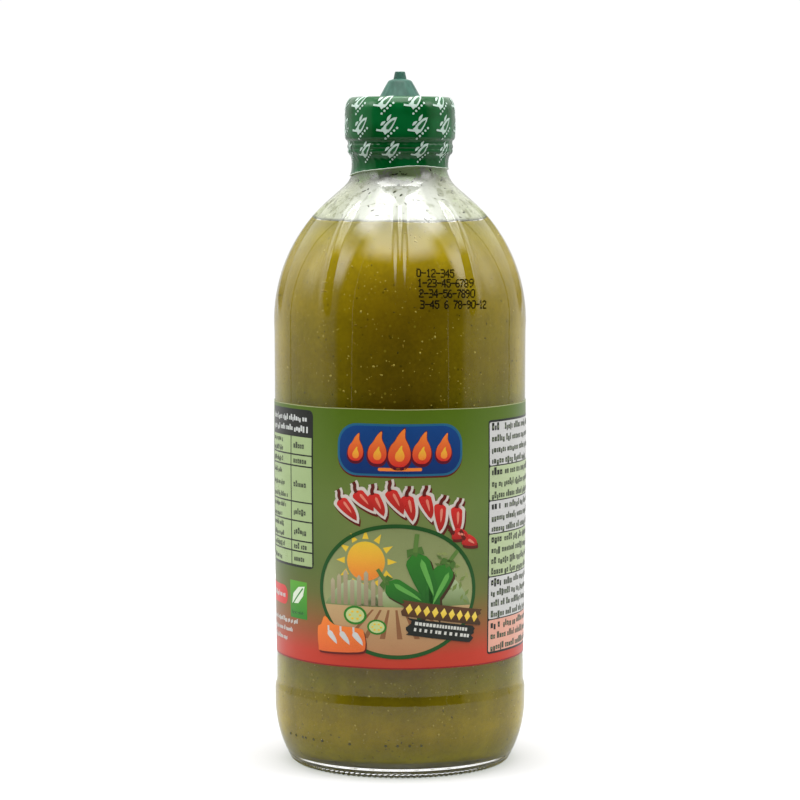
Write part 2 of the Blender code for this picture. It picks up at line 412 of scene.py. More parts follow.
@dataclass(frozen=True)
class PepperSauce(Finish):
    """Smooth green sauce full of fine pulp, wetting the glass so that it hardly shines itself.

    Its colour carries painted light and shade, set by height and by distance from the middle: palest at the foot,
    the shoulder and the flanks.

    Attributes:
        pale: Colour of the pale bits of skin and seed.
        dark: Colour of the dark bits.
        high: Height at which the stops' share is 1.
        half_w: Half width of the fill.
        middle: Colours with painted light and shade in the middle, as (height, red, green).
        flank: Colours with painted light and shade at the flanks.
    """

    pale: Colour = (0.30, 0.24, 0.02)
    dark: Colour = (0.02, 0.02, 0.001)
    high: float = 0.16
    half_w: float = 0.0328
    middle: Tones = (
        (0.0045, 0.420, 0.340), (0.0072, 0.265, 0.206), (0.0100, 0.262, 0.190), (0.0145, 0.200, 0.138),
        (0.0180, 0.165, 0.121), (0.0225, 0.112, 0.083), (0.0265, 0.162, 0.122), (0.0310, 0.196, 0.130),
        (0.1040, 0.086, 0.057), (0.1095, 0.096, 0.062), (0.1162, 0.107, 0.070), (0.1230, 0.130, 0.082),
        (0.1297, 0.152, 0.096), (0.1357, 0.168, 0.108), (0.1405, 0.226, 0.152), (0.1437, 0.276, 0.192),
        (0.1478, 0.235, 0.176), (0.1510, 0.147, 0.116))
    flank: Tones = (
        (0.0045, 0.450, 0.360), (0.0072, 0.295, 0.230), (0.0100, 0.275, 0.203), (0.0145, 0.226, 0.162),
        (0.0180, 0.200, 0.146), (0.0225, 0.187, 0.141), (0.0265, 0.183, 0.152), (0.0310, 0.238, 0.186),
        (0.1040, 0.157, 0.131), (0.1095, 0.164, 0.123), (0.1162, 0.180, 0.130), (0.1230, 0.207, 0.151),
        (0.1297, 0.234, 0.165), (0.1357, 0.231, 0.165), (0.1405, 0.240, 0.172), (0.1437, 0.221, 0.163),
        (0.1478, 0.214, 0.167), (0.1510, 0.162, 0.131))

    def dress(self, graph: Graph, shader: bpy.types.Node) -> None:
        """Adds pulp, streaks left by filling and bits."""
        place = self.place(graph)
        pulp = graph.node("ShaderNodeGroup", node_tree=pulp_group())
        graph.feed(pulp.inputs["Vector"], place)
        pulp.inputs["Bit Scale"].default_value = 760.0
        streaks = graph.noise(place, 160.0, 3.0, (1.0, 1.0, 0.06))
        shade = graph.math("MULTIPLY", pulp.outputs["Shade"], graph.ease(streaks, 0.3, 0.7, 0.93, 1.07))
        toned = graph.node("ShaderNodeVectorMath", operation="SCALE")
        graph.feed(toned.inputs[0], self.painted_light_colour(graph, place))
        graph.feed(toned.inputs["Scale"], shade)
        lit = graph.blend(graph.math("MULTIPLY", pulp.outputs["Bits"], 0.45),
                          toned.outputs["Vector"], self.pale)
        both = graph.blend(graph.math("MULTIPLY", pulp.outputs["Dark"], 0.5), lit, self.dark)
        graph.feed(shader.inputs["Base Color"], both)
        shader.inputs["Specular IOR Level"].default_value = 0.06

    def painted_light_colour(self, graph: Graph, place: bpy.types.NodeSocket) -> bpy.types.NodeSocket:
        """The sauce's colour with painted light and shade by height, from its middle out to its flanks."""
        split = graph.node("ShaderNodeSeparateXYZ")
        graph.feed(split.inputs["Vector"], place)
        share = graph.math("DIVIDE", split.outputs["Z"], self.high)
        # painted light and shade: the middle and flank ramps set the sauce's brightness by height
        ramps = [graph.ramp(share, [(z / self.high, (red, green, self.colour[2])) for z, red, green in tones])
                 for tones in (self.middle, self.flank)]
        across = graph.math("DIVIDE", graph.math("ABSOLUTE", split.outputs["X"]), self.half_w)
        toned = graph.blend(graph.ease(across, 0.12, 0.78), ramps[0], ramps[1])
        # painted light: the low flanks come out up to 1.7 times paler
        edge = graph.math("MULTIPLY", graph.ease(across, 0.86, 0.98),
                          graph.ease(split.outputs["Z"], 0.120, 0.132, 0.7, 0.0))
        lifted = graph.node("ShaderNodeVectorMath", operation="SCALE")
        graph.feed(lifted.inputs[0], toned)
        graph.feed(lifted.inputs["Scale"], graph.math("ADD", edge, 1.0))
        return lifted.outputs["Vector"]


@dataclass(frozen=True)
class Speck(Finish):
    """A loose bit in the sauce: seed, skin or pulp.

    Attributes:
        change: How much one bit's colour differs from the next.
    """

    change: float = 0.3

    def dress(self, graph: Graph, shader: bpy.types.Node) -> None:
        """Adds the change of colour from bit to bit."""
        grain = self.grain(graph, 700.0, 4200.0, self.change)
        toned = graph.node("ShaderNodeVectorMath", operation="SCALE")
        toned.inputs[0].default_value = self.colour
        graph.feed(toned.inputs["Scale"], grain.outputs["Shade"])
        graph.feed(shader.inputs["Base Color"], toned.outputs["Vector"])
        shader.inputs["Specular IOR Level"].default_value = 0.06


@dataclass(frozen=True)
class ResidueFilm(Finish):
    """Thin splashes of sauce dried on the inside of the head space, clear in between.

    Attributes:
        low: Height where the film is thinnest.
        high: Height where it is densest, under the cap.
        haze: How much of the light the thinnest film stops.
        thick: Colour where it is thick, painted much paler than dried sauce as painted light against the shade
            under the cap.
        flank: Colour at the flanks, where it ran down more slowly.
        run: Colour of the fine runs in it.
    """

    low: float = 0.1612
    high: float = 0.1666
    haze: float = 0.74
    # thick carries painted light: paler than the film's own colour, against the cap's shade
    thick: Colour = (0.42, 0.56, 0.27)
    flank: Colour = (0.36, 0.37, 0.25)
    run: Colour = (0.14, 0.15, 0.05)

    def dress(self, graph: Graph, shader: bpy.types.Node) -> None:
        """Adds the grainy alpha, denser towards the neck and at the flanks."""
        place = self.place(graph)
        split = graph.node("ShaderNodeSeparateXYZ")
        graph.feed(split.inputs["Vector"], place)
        rise = graph.ease(split.outputs["Z"], self.low, self.high)
        patches = graph.noise(place, 170.0, 3.0, (1.0, 1.0, 0.7))
        fine = graph.noise(place, 1400.0, 3.0)
        wet = graph.math("ADD", graph.math("MULTIPLY", patches, 0.75), graph.math("MULTIPLY", fine, 0.5))
        edge = graph.math("SUBTRACT", 0.87, graph.math("MULTIPLY", rise, 0.36))
        over = graph.math("SUBTRACT", wet, edge)
        cover = graph.ease(over, -0.10, 0.10, self.haze, 0.88)
        reach = graph.math("SQRT", graph.math("ADD", graph.math("POWER", split.outputs["X"], 2.0),
                                              graph.math("POWER", split.outputs["Y"], 2.0)))
        side = graph.math("DIVIDE", graph.math("ABSOLUTE", split.outputs["X"]), reach)
        side = graph.ease(side, 0.5, 0.9)
        slow = graph.math("MULTIPLY", side, graph.ease(fine, 0.3, 0.7, 0.7, 0.97))
        cover = graph.math("MAXIMUM", cover, slow)
        pulp = graph.node("ShaderNodeGroup", node_tree=pulp_group())
        graph.feed(pulp.inputs["Vector"], place)
        pulp.inputs["Bit Scale"].default_value = 1300.0
        colour = graph.blend(side, self.colour, self.flank)
        runs = graph.ease(graph.noise(place, 560.0, 5.0, (1.0, 1.0, 0.5)), 0.52, 0.62)
        share = graph.math("MULTIPLY", runs, graph.math("ADD", graph.math("MULTIPLY", side, 0.35), 0.38))
        colour = graph.blend(share, colour, self.run)
        # painted light: the dense band under the cap takes the pale thick colour
        colour = graph.blend(graph.ease(over, -0.08, 0.06), colour, self.thick)
        colour = graph.blend(pulp.outputs["Bits"], colour, (0.70, 0.70, 0.55))
        colour = graph.blend(pulp.outputs["Dark"], colour, (0.10, 0.12, 0.03))
        graph.feed(shader.inputs["Base Color"], colour)
        graph.feed(shader.inputs["Alpha"], cover)
        shader.inputs["Specular IOR Level"].default_value = 0.1


@dataclass(frozen=True)
class WrapPaper(Finish):
    """Varnished paper printed with a field that runs from green through brown to red.

    Attributes:
        low: Height of the label's lower edge.
        high: Height of its upper edge.
        glow_z: Height of the lighter spot at the front.
        glow_half: Half width and half height of that spot.
        glow: Colour of the spot's middle.
    """

    low: float = 0.0312
    high: float = 0.1024
    glow_z: float = 0.0665
    glow_half: Point = (0.021, 0.024)
    glow: Colour = (0.20, 0.24, 0.08)

    def dress(self, graph: Graph, shader: bpy.types.Node) -> None:
        """Adds the field of colour, its lighter spots front and back, and the paper's grain."""
        place = self.place(graph)
        split = graph.node("ShaderNodeSeparateXYZ")
        graph.feed(split.inputs["Vector"], place)
        made = graph.node("ShaderNodeMapRange")
        for name, value in (("From Min", self.low), ("From Max", self.high)):
            made.inputs[name].default_value = value
        graph.feed(made.inputs["Value"], split.outputs["Z"])
        height = made.outputs["Result"]
        field_colour = graph.ramp(height, (
            (0.00, (0.49, 0.038, 0.018)), (0.05, (0.49, 0.043, 0.021)), (0.125, (0.32, 0.080, 0.028)),
            (0.20, (0.215, 0.114, 0.030)), (0.28, (0.125, 0.136, 0.030)), (0.39, (0.084, 0.136, 0.026)),
            (0.63, (0.106, 0.170, 0.028)), (0.71, (0.100, 0.162, 0.022)), (1.00, (0.078, 0.140, 0.006))))
        across = graph.math("DIVIDE", split.outputs["X"], self.glow_half[0])
        up = graph.math("DIVIDE", graph.math("SUBTRACT", split.outputs["Z"], self.glow_z),
                        self.glow_half[1])
        away = graph.math("SQRT", graph.math("ADD", graph.math("POWER", across, 2.0),
                                             graph.math("POWER", up, 2.0)))
        glow = graph.ease(away, 0.3, 1.5, 0.55, 0.0)
        colour = graph.blend(glow, field_colour, self.glow)
        grain = self.grain(graph, 60.0, 2400.0, 0.05)
        toned = graph.node("ShaderNodeVectorMath", operation="SCALE")
        graph.feed(toned.inputs[0], colour)
        graph.feed(toned.inputs["Scale"], grain.outputs["Shade"])
        graph.feed(shader.inputs["Base Color"], toned.outputs["Vector"])
        graph.feed(shader.inputs["Roughness"], graph.ease(grain.outputs["Shade"], 0.9, 1.1, 0.26, 0.34))
        graph.feed(shader.inputs["Normal"], graph.bump(grain.outputs["Height"], 0.00001))
        shader.inputs["Specular IOR Level"].default_value = 0.3


@dataclass(frozen=True)
class PrintInk(Finish):
    """Print whose colour lies in the sheet's own attribute.

    Attributes:
        attribute: Name of that attribute.
        shine: Strength of its mirror-like part.
    """

    attribute: str = "ink"
    shine: float = 0.5

    def dress(self, graph: Graph, shader: bpy.types.Node) -> None:
        """Adds the attribute's colour with a slightly uneven lay of ink."""
        ink = graph.node("ShaderNodeAttribute", attribute_name=self.attribute)
        grain = self.grain(graph, 150.0, 3200.0, 0.07)
        toned = graph.node("ShaderNodeVectorMath", operation="SCALE")
        graph.feed(toned.inputs[0], ink.outputs["Color"])
        graph.feed(toned.inputs["Scale"], grain.outputs["Shade"])
        graph.feed(shader.inputs["Base Color"], toned.outputs["Vector"])
        graph.feed(shader.inputs["Roughness"], graph.ease(grain.outputs["Shade"], 0.9, 1.1,
                                                          self.roughness - 0.05, self.roughness + 0.05))
        graph.feed(shader.inputs["Normal"], graph.bump(grain.outputs["Height"], 0.000008))
        shader.inputs["Specular IOR Level"].default_value = self.shine


@dataclass(frozen=True)
class MouldedPlastic(Finish):
    """Slightly clouded polypropylene with flow marks from the mould.

    Attributes:
        pale: Colour of the clouded parts.
    """

    pale: Colour = (0.044, 0.138, 0.100)

    def dress(self, graph: Graph, shader: bpy.types.Node) -> None:
        """Adds flow marks and a fine mould grain."""
        place = self.place(graph)
        flow = graph.noise(place, 420.0, 3.0, (1.0, 1.0, 0.15))
        colour = graph.blend(graph.ease(flow, 0.35, 0.75), self.colour, self.pale)
        graph.feed(shader.inputs["Base Color"], colour)
        grain = self.grain(graph, 500.0, 5200.0, 0.1)
        graph.feed(shader.inputs["Roughness"], graph.ease(grain.outputs["Shade"], 0.9, 1.1,
                                                          self.roughness - 0.08, self.roughness + 0.08))
        graph.feed(shader.inputs["Normal"], graph.bump(grain.outputs["Height"], 0.00002))
        shader.inputs["Specular IOR Level"].default_value = 0.25
        shader.inputs["Subsurface Weight"].default_value = 0.15
        shader.inputs["Subsurface Radius"].default_value = (0.001, 0.002, 0.0015)


@dataclass(frozen=True)
class ShrinkFilm(Finish):
    """Glossy coloured film, drawn tight by heat, with fine upright pulls.

    Attributes:
        light: Colour where the film is stretched thin.
    """

    light: Colour = (0.003, 0.125, 0.028)

    def dress(self, graph: Graph, shader: bpy.types.Node) -> None:
        """Adds the pulls, the thinner patches and the uneven gloss."""
        place = self.place(graph)
        pulls = graph.noise(place, 240.0, 3.0, (1.0, 1.0, 0.12))
        thin = graph.noise(place, 120.0, 2.0)
        colour = graph.blend(graph.ease(thin, 0.4, 0.7, 0.0, 0.8), self.colour, self.light)
        graph.feed(shader.inputs["Base Color"], colour)
        grain = self.grain(graph, 300.0, 3600.0, 0.1)
        graph.feed(shader.inputs["Roughness"], graph.ease(grain.outputs["Shade"], 0.9, 1.1,
                                                          self.roughness - 0.06, self.roughness + 0.06))
        graph.feed(shader.inputs["Normal"], graph.bump(pulls, 0.00012))
        shader.inputs["Specular IOR Level"].default_value = 0.36


@dataclass(frozen=True)
class StudioWhite(Finish):
    """The floor's matt white."""

    def dress(self, graph: Graph, shader: bpy.types.Node) -> None:
        """Takes the gloss away, and lets the camera alone see the floor as lit as a white sweep."""
        shader.inputs["Specular IOR Level"].default_value = 0.0
        seen = graph.node("ShaderNodeLightPath").outputs["Is Camera Ray"]
        graph.feed(shader.inputs["Base Color"], graph.blend(seen, self.colour, (0.5, 0.5, 0.5)))
        noise = graph.noise(self.place(graph), 30.0)
        graph.feed(shader.inputs["Roughness"], graph.ease(noise, 0.3, 0.7, 0.9, 1.0))


GLASS = ClearGlass("container_glass", (0.975, 0.985, 0.965), 0.0)
SAUCE = PepperSauce("pepper_sauce_pulp", (0.114, 0.076, 0.0003), 0.5)
PALE_BITS = Speck("pale_bits", (0.34, 0.265, 0.045), 0.5)
DARK_BITS = Speck("dark_bits", (0.026, 0.026, 0.005), 0.5)
SKIN_BITS = Speck("skin_bits", (0.20, 0.13, 0.01), 0.5)
RESIDUE = ResidueFilm("dried_splashes", (0.59, 0.59, 0.535), 0.6)
PAPER = WrapPaper("wrap_paper", (0.13, 0.2, 0.04), 0.38)
INK = PrintInk("label_ink", (0.5, 0.5, 0.5), 0.3, shine=0.3)
FILM_INK = PrintInk("film_ink", (0.8, 0.85, 0.8), 0.42)
CAP = MouldedPlastic("cap_plastic_green", (0.024, 0.088, 0.062), 0.45)
# Tinted dark: painted shade, standing in for the dark front seen through the raised dots.
DARKENED_DOT_GLASS = ClearGlass("mould_dot_glass_painted_dark", (0.30, 0.32, 0.14), 0.0)
FILM = ShrinkFilm("shrink_film_green", (0.0002, 0.072, 0.011), 0.15)
CODE_INK = PrintInk("code_ink", (0.02, 0.02, 0.018), 0.6, shine=0.0)
FLOOR_WHITE = StudioWhite("studio_white", (0.32, 0.32, 0.32), 0.95)


# Meshes


Relief = Callable[[int, np.ndarray, float, float], tuple[np.ndarray, np.ndarray]]
Columns = Callable[[float, float], np.ndarray]


def smooth(share: np.ndarray | float) -> np.ndarray:
    """Eases from 0 to 1."""
    kept = np.clip(share, 0.0, 1.0)
    return kept * kept * (3.0 - 2.0 * kept)


def arc(centre: Point, radius: float, start: float, end: float, steps: int) -> Profile:
    """Points on a circle in the plane of radius and height.

    Args:
        centre: The circle's centre.
        radius: Its radius.
        start: First angle, in degrees.
        end: Last angle, in degrees.
        steps: Number of steps between them.

    Returns:
        The points, first and last included.
    """
    angles = [math.radians(start + (end - start) * i / steps) for i in range(steps + 1)]
    return [(centre[0] + radius * math.cos(a), centre[1] + radius * math.sin(a)) for a in angles]


def line(first: Point, last: Point, steps: int) -> Profile:
    """Points on a straight run, without the first one."""
    return [(first[0] + (last[0] - first[0]) * i / steps, first[1] + (last[1] - first[1]) * i / steps)
            for i in range(1, steps + 1)]


def even_columns(count: int) -> Columns:
    """Column angles of a plain turned piece, from the back round to the front and on."""
    angles = FRONT + 2 * math.pi * np.arange(count) / count
    return lambda radius, height: angles


def turned_mesh(name: str, profile: Profile, columns: Columns, relief: Relief | None = None,
                ring: bool = False) -> bpy.types.Mesh:
    """Turns a profile into a closed mesh.

    Args:
        name: The mesh's name.
        profile: Points down the outside. One that starts and ends on the axis closes with poles.
        columns: Gives the column angles at a radius and height.
        relief: Gives radii and heights of one row's points instead of the profile's own.
        ring: Whether the profile is a closed loop round a hole.

    Returns:
        The mesh, with its faces pointing out.
    """
    points: list[np.ndarray] = []
    rows: list[range] = []
    count = 0
    for row, (r, z) in enumerate(profile):
        if r < AXIS_R:
            placed = np.array([[0.0, 0.0, z]])
        else:
            angles = columns(r, z)
            radii, heights = np.full(len(angles), r), np.full(len(angles), z)
            if relief:
                radii, heights = relief(row, angles, r, z)
            placed = np.stack([radii * np.cos(angles), radii * np.sin(angles), heights], axis=1)
        points.append(placed)
        rows.append(range(count, count + len(placed)))
        count += len(placed)
    faces: list[tuple[int, ...]] = []
    pairs = list(zip(rows, rows[1:]))
    if ring:
        pairs.append((rows[-1], rows[0]))
    for upper, lower in pairs:
        faces += ring_faces(upper, lower)
    mesh = bpy.data.meshes.new(name)
    mesh.from_pydata(np.concatenate(points), [], faces)
    mesh.validate()
    return mesh


def ring_faces(upper: range, lower: range) -> list[tuple[int, ...]]:
    """Faces between two rows, either of which may be one point on the axis."""
    size = max(len(upper), len(lower))
    if len(upper) == len(lower) == 1:
        return []
    if len(upper) == 1:
        return [(upper[0], lower[i], lower[(i + 1) % size]) for i in range(size)]
    if len(lower) == 1:
        return [(upper[i], lower[0], upper[(i + 1) % size]) for i in range(size)]
    return [(upper[i], lower[i], lower[(i + 1) % size], upper[(i + 1) % size]) for i in range(size)]


def add_piece(name: str, mesh: bpy.types.Mesh, finishes: Sequence[Finish],
              sharp: float = 40.0) -> bpy.types.Object:
    """Puts a mesh in the scene, smooth but for its sharp edges.

    Args:
        name: The piece's name.
        mesh: Its mesh.
        finishes: Its finishes, in the order of the mesh's material slots.
        sharp: Angle in degrees from which an edge stays sharp.

    Returns:
        The new object.
    """
    piece = bpy.data.objects.new(name, mesh)
    bpy.context.scene.collection.objects.link(piece)
    mesh.materials.clear()
    for finish in finishes:
        mesh.materials.append(finish.material())
    mesh.shade_smooth()
    mesh.set_sharp_from_angle(angle=math.radians(sharp))
    return piece


def settle(piece: bpy.types.Object, slot: str, *nodes: str) -> None:
    """Makes a finished piece part of the bottle.

    Args:
        piece: The piece, at its place.
        slot: Name of the record's slot, written to the log.
        *nodes: The frame's nodes that it stands for.
    """
    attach(piece, BODY)
    if nodes:
        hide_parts(*nodes)
    log.info("%s: %d faces, slot %s", piece.name, len(piece.data.polygons), slot)


# Geometry Nodes


class Scatter:
    """Sets copies of one small shape on the points or faces of another, as plain mesh."""

    def __init__(self, name: str) -> None:
        """Makes the tree's group with its geometry sockets.

        Args:
            name: The group's name.
        """
        self.tree = bpy.data.node_groups.new(name, "GeometryNodeTree")
        self.graph = Graph(self.tree)
        self.identifiers: dict[str, str] = {}
        self.add_input("Geometry", "NodeSocketGeometry")
        self.tree.interface.new_socket("Geometry", in_out="OUTPUT", socket_type="NodeSocketGeometry")
        self.given = self.graph.node("NodeGroupInput")
        self.out = self.graph.node("NodeGroupOutput")

    def add_input(self, name: str, kind: str) -> None:
        """Adds a named input and keeps its identifier."""
        socket = self.tree.interface.new_socket(name, in_out="INPUT", socket_type=kind)
        self.identifiers[name] = socket.identifier

    def finish(self, instances: bpy.types.NodeSocket) -> None:
        """Ends the tree in Realize Instances and Set Material.

        Args:
            instances: The instances to make real.
        """
        real = self.graph.node("GeometryNodeRealizeInstances")
        self.graph.feed(real.inputs["Geometry"], instances)
        dressed = self.graph.node("GeometryNodeSetMaterial")
        self.graph.feed(dressed.inputs["Geometry"], real.outputs["Geometry"])
        self.graph.feed(dressed.inputs["Material"], self.given.outputs["Material"])
        self.graph.feed(self.out.inputs["Geometry"], dressed.outputs["Geometry"])

    def bake(self, base: bpy.types.Mesh, name: str, values: dict[str, object]) -> bpy.types.Mesh:
        """Runs the tree on a base mesh and turns the result into a plain mesh.

        Args:
            base: The mesh whose points or faces carry the copies.
            name: The result's name.
            values: The tree's inputs by name.

        Returns:
            The plain mesh.
        """
        host = bpy.data.objects.new(name + "_host", base)
        bpy.context.scene.collection.objects.link(host)
        modifier = host.modifiers.new("scatter", "NODES")
        modifier.node_group = self.tree
        for label, value in values.items():
            modifier[self.identifiers[label]] = value
        seen = host.evaluated_get(bpy.context.evaluated_depsgraph_get())
        mesh = bpy.data.meshes.new_from_object(seen)
        mesh.name = name
        host.modifiers.remove(modifier)
        bpy.data.objects.remove(host)
        return mesh


def bits_tree() -> Scatter:
    """Bits scattered over faces, each turned and sized by chance."""
    made = Scatter("scattered_bits")
    for name, kind in (("Bit", "NodeSocketObject"), ("Density", "NodeSocketFloat"),
                       ("Seed", "NodeSocketInt"), ("Smallest", "NodeSocketFloat"),
                       ("Largest", "NodeSocketFloat"), ("Material", "NodeSocketMaterial")):
        made.add_input(name, kind)
    graph, given = made.graph, made.given
    spread = graph.node("GeometryNodeDistributePointsOnFaces")
    for socket, name in (("Mesh", "Geometry"), ("Density", "Density"), ("Seed", "Seed")):
        graph.feed(spread.inputs[socket], given.outputs[name])
    bit = graph.node("GeometryNodeObjectInfo")
    graph.feed(bit.inputs["Object"], given.outputs["Bit"])
    turn = graph.node("FunctionNodeRandomValue", data_type="FLOAT")
    size = graph.node("FunctionNodeRandomValue", data_type="FLOAT")
    for node, low, high, shift in ((turn, 0.0, 2 * math.pi, 1), (size, None, None, 2)):
        floats = [s for s in node.inputs if s.type == "VALUE"]
        graph.feed(floats[0], given.outputs["Smallest"] if low is None else low)
        graph.feed(floats[1], given.outputs["Largest"] if high is None else high)
        seed = graph.math("ADD", given.outputs["Seed"], float(shift))
        graph.feed(node.inputs["Seed"], seed)
    spun = graph.node("FunctionNodeRotateRotation", rotation_space="LOCAL")
    graph.feed(spun.inputs["Rotation"], spread.outputs["Rotation"])
    about = graph.node("FunctionNodeAxisAngleToRotation")
    about.inputs["Axis"].default_value = (0.0, 0.0, 1.0)
    graph.feed(about.inputs["Angle"], [s for s in turn.outputs if s.type == "VALUE"][0])
    graph.feed(spun.inputs["Rotate By"], about.outputs["Rotation"])
    copies = graph.node("GeometryNodeInstanceOnPoints")
    graph.feed(copies.inputs["Points"], spread.outputs["Points"])
    graph.feed(copies.inputs["Instance"], bit.outputs["Geometry"])
    graph.feed(copies.inputs["Rotation"], spun.outputs["Rotation"])
    graph.feed(copies.inputs["Scale"], [s for s in size.outputs if s.type == "VALUE"][0])
    made.finish(copies.outputs["Instances"])
    return made


def dots_tree() -> Scatter:
    """One copy of a shape on each point, standing on the point's normal."""
    made = Scatter("dots_on_points")
    for name, kind in (("Dot", "NodeSocketObject"), ("Size", "NodeSocketFloat"),
                       ("Material", "NodeSocketMaterial")):
        made.add_input(name, kind)
    graph, given = made.graph, made.given
    normal = graph.node("GeometryNodeInputNamedAttribute", data_type="FLOAT_VECTOR")
    normal.inputs["Name"].default_value = "facing"
    stand = graph.node("FunctionNodeAlignRotationToVector", axis="Z")
    graph.feed(stand.inputs["Vector"], normal.outputs["Attribute"])
    dot = graph.node("GeometryNodeObjectInfo")
    graph.feed(dot.inputs["Object"], given.outputs["Dot"])
    copies = graph.node("GeometryNodeInstanceOnPoints")
    graph.feed(copies.inputs["Points"], given.outputs["Geometry"])
    graph.feed(copies.inputs["Instance"], dot.outputs["Geometry"])
    graph.feed(copies.inputs["Rotation"], stand.outputs["Rotation"])
    graph.feed(copies.inputs["Scale"], given.outputs["Size"])
    made.finish(copies.outputs["Instances"])
    return made


def small_shape(name: str, kind: "BitShape") -> bpy.types.Object:
    """A bit or dot of about one unit, hidden, for the trees to copy.

    Args:
        name: The object's name.
        kind: Its form.

    Returns:
        The hidden object.
    """
    mesh = bpy.data.meshes.new(name)
    bm = bmesh.new()
    if kind is BitShape.DISC:
        bmesh.ops.create_cone(bm, cap_ends=True, segments=8, radius1=0.5, radius2=0.42, depth=0.16)
    else:
        bmesh.ops.create_icosphere(bm, subdivisions=1, radius=0.5)
        squash = {BitShape.SEED: (1.0, 0.72, 0.3), BitShape.SHRED: (1.3, 0.5, 0.25),
                  BitShape.DOME: (1.0, 1.0, 0.55)}[kind]
        bmesh.ops.scale(bm, vec=squash, verts=bm.verts)
    bm.to_mesh(mesh)
    bm.free()
    mesh.shade_smooth()
    return bpy.data.objects.new(name, mesh)


class BitShape(Enum):
    """Forms of small repeated shapes."""

    SEED = "seed"
    SHRED = "shred"
    DOME = "dome"
    DISC = "disc"


def facing_points(name: str, places: np.ndarray, normals: np.ndarray) -> bpy.types.Mesh:
    """Loose points, each with the way it faces.

    Args:
        name: The mesh's name.
        places: Where the points are.
        normals: The way each one faces.

    Returns:
        A mesh of points with a facing attribute.
    """
    mesh = bpy.data.meshes.new(name)
    mesh.from_pydata(places, [], [])
    facing = mesh.attributes.new("facing", "FLOAT_VECTOR", "POINT")
    facing.data.foreach_set("vector", normals.astype(np.float32).ravel())
    return mesh


# Bottle


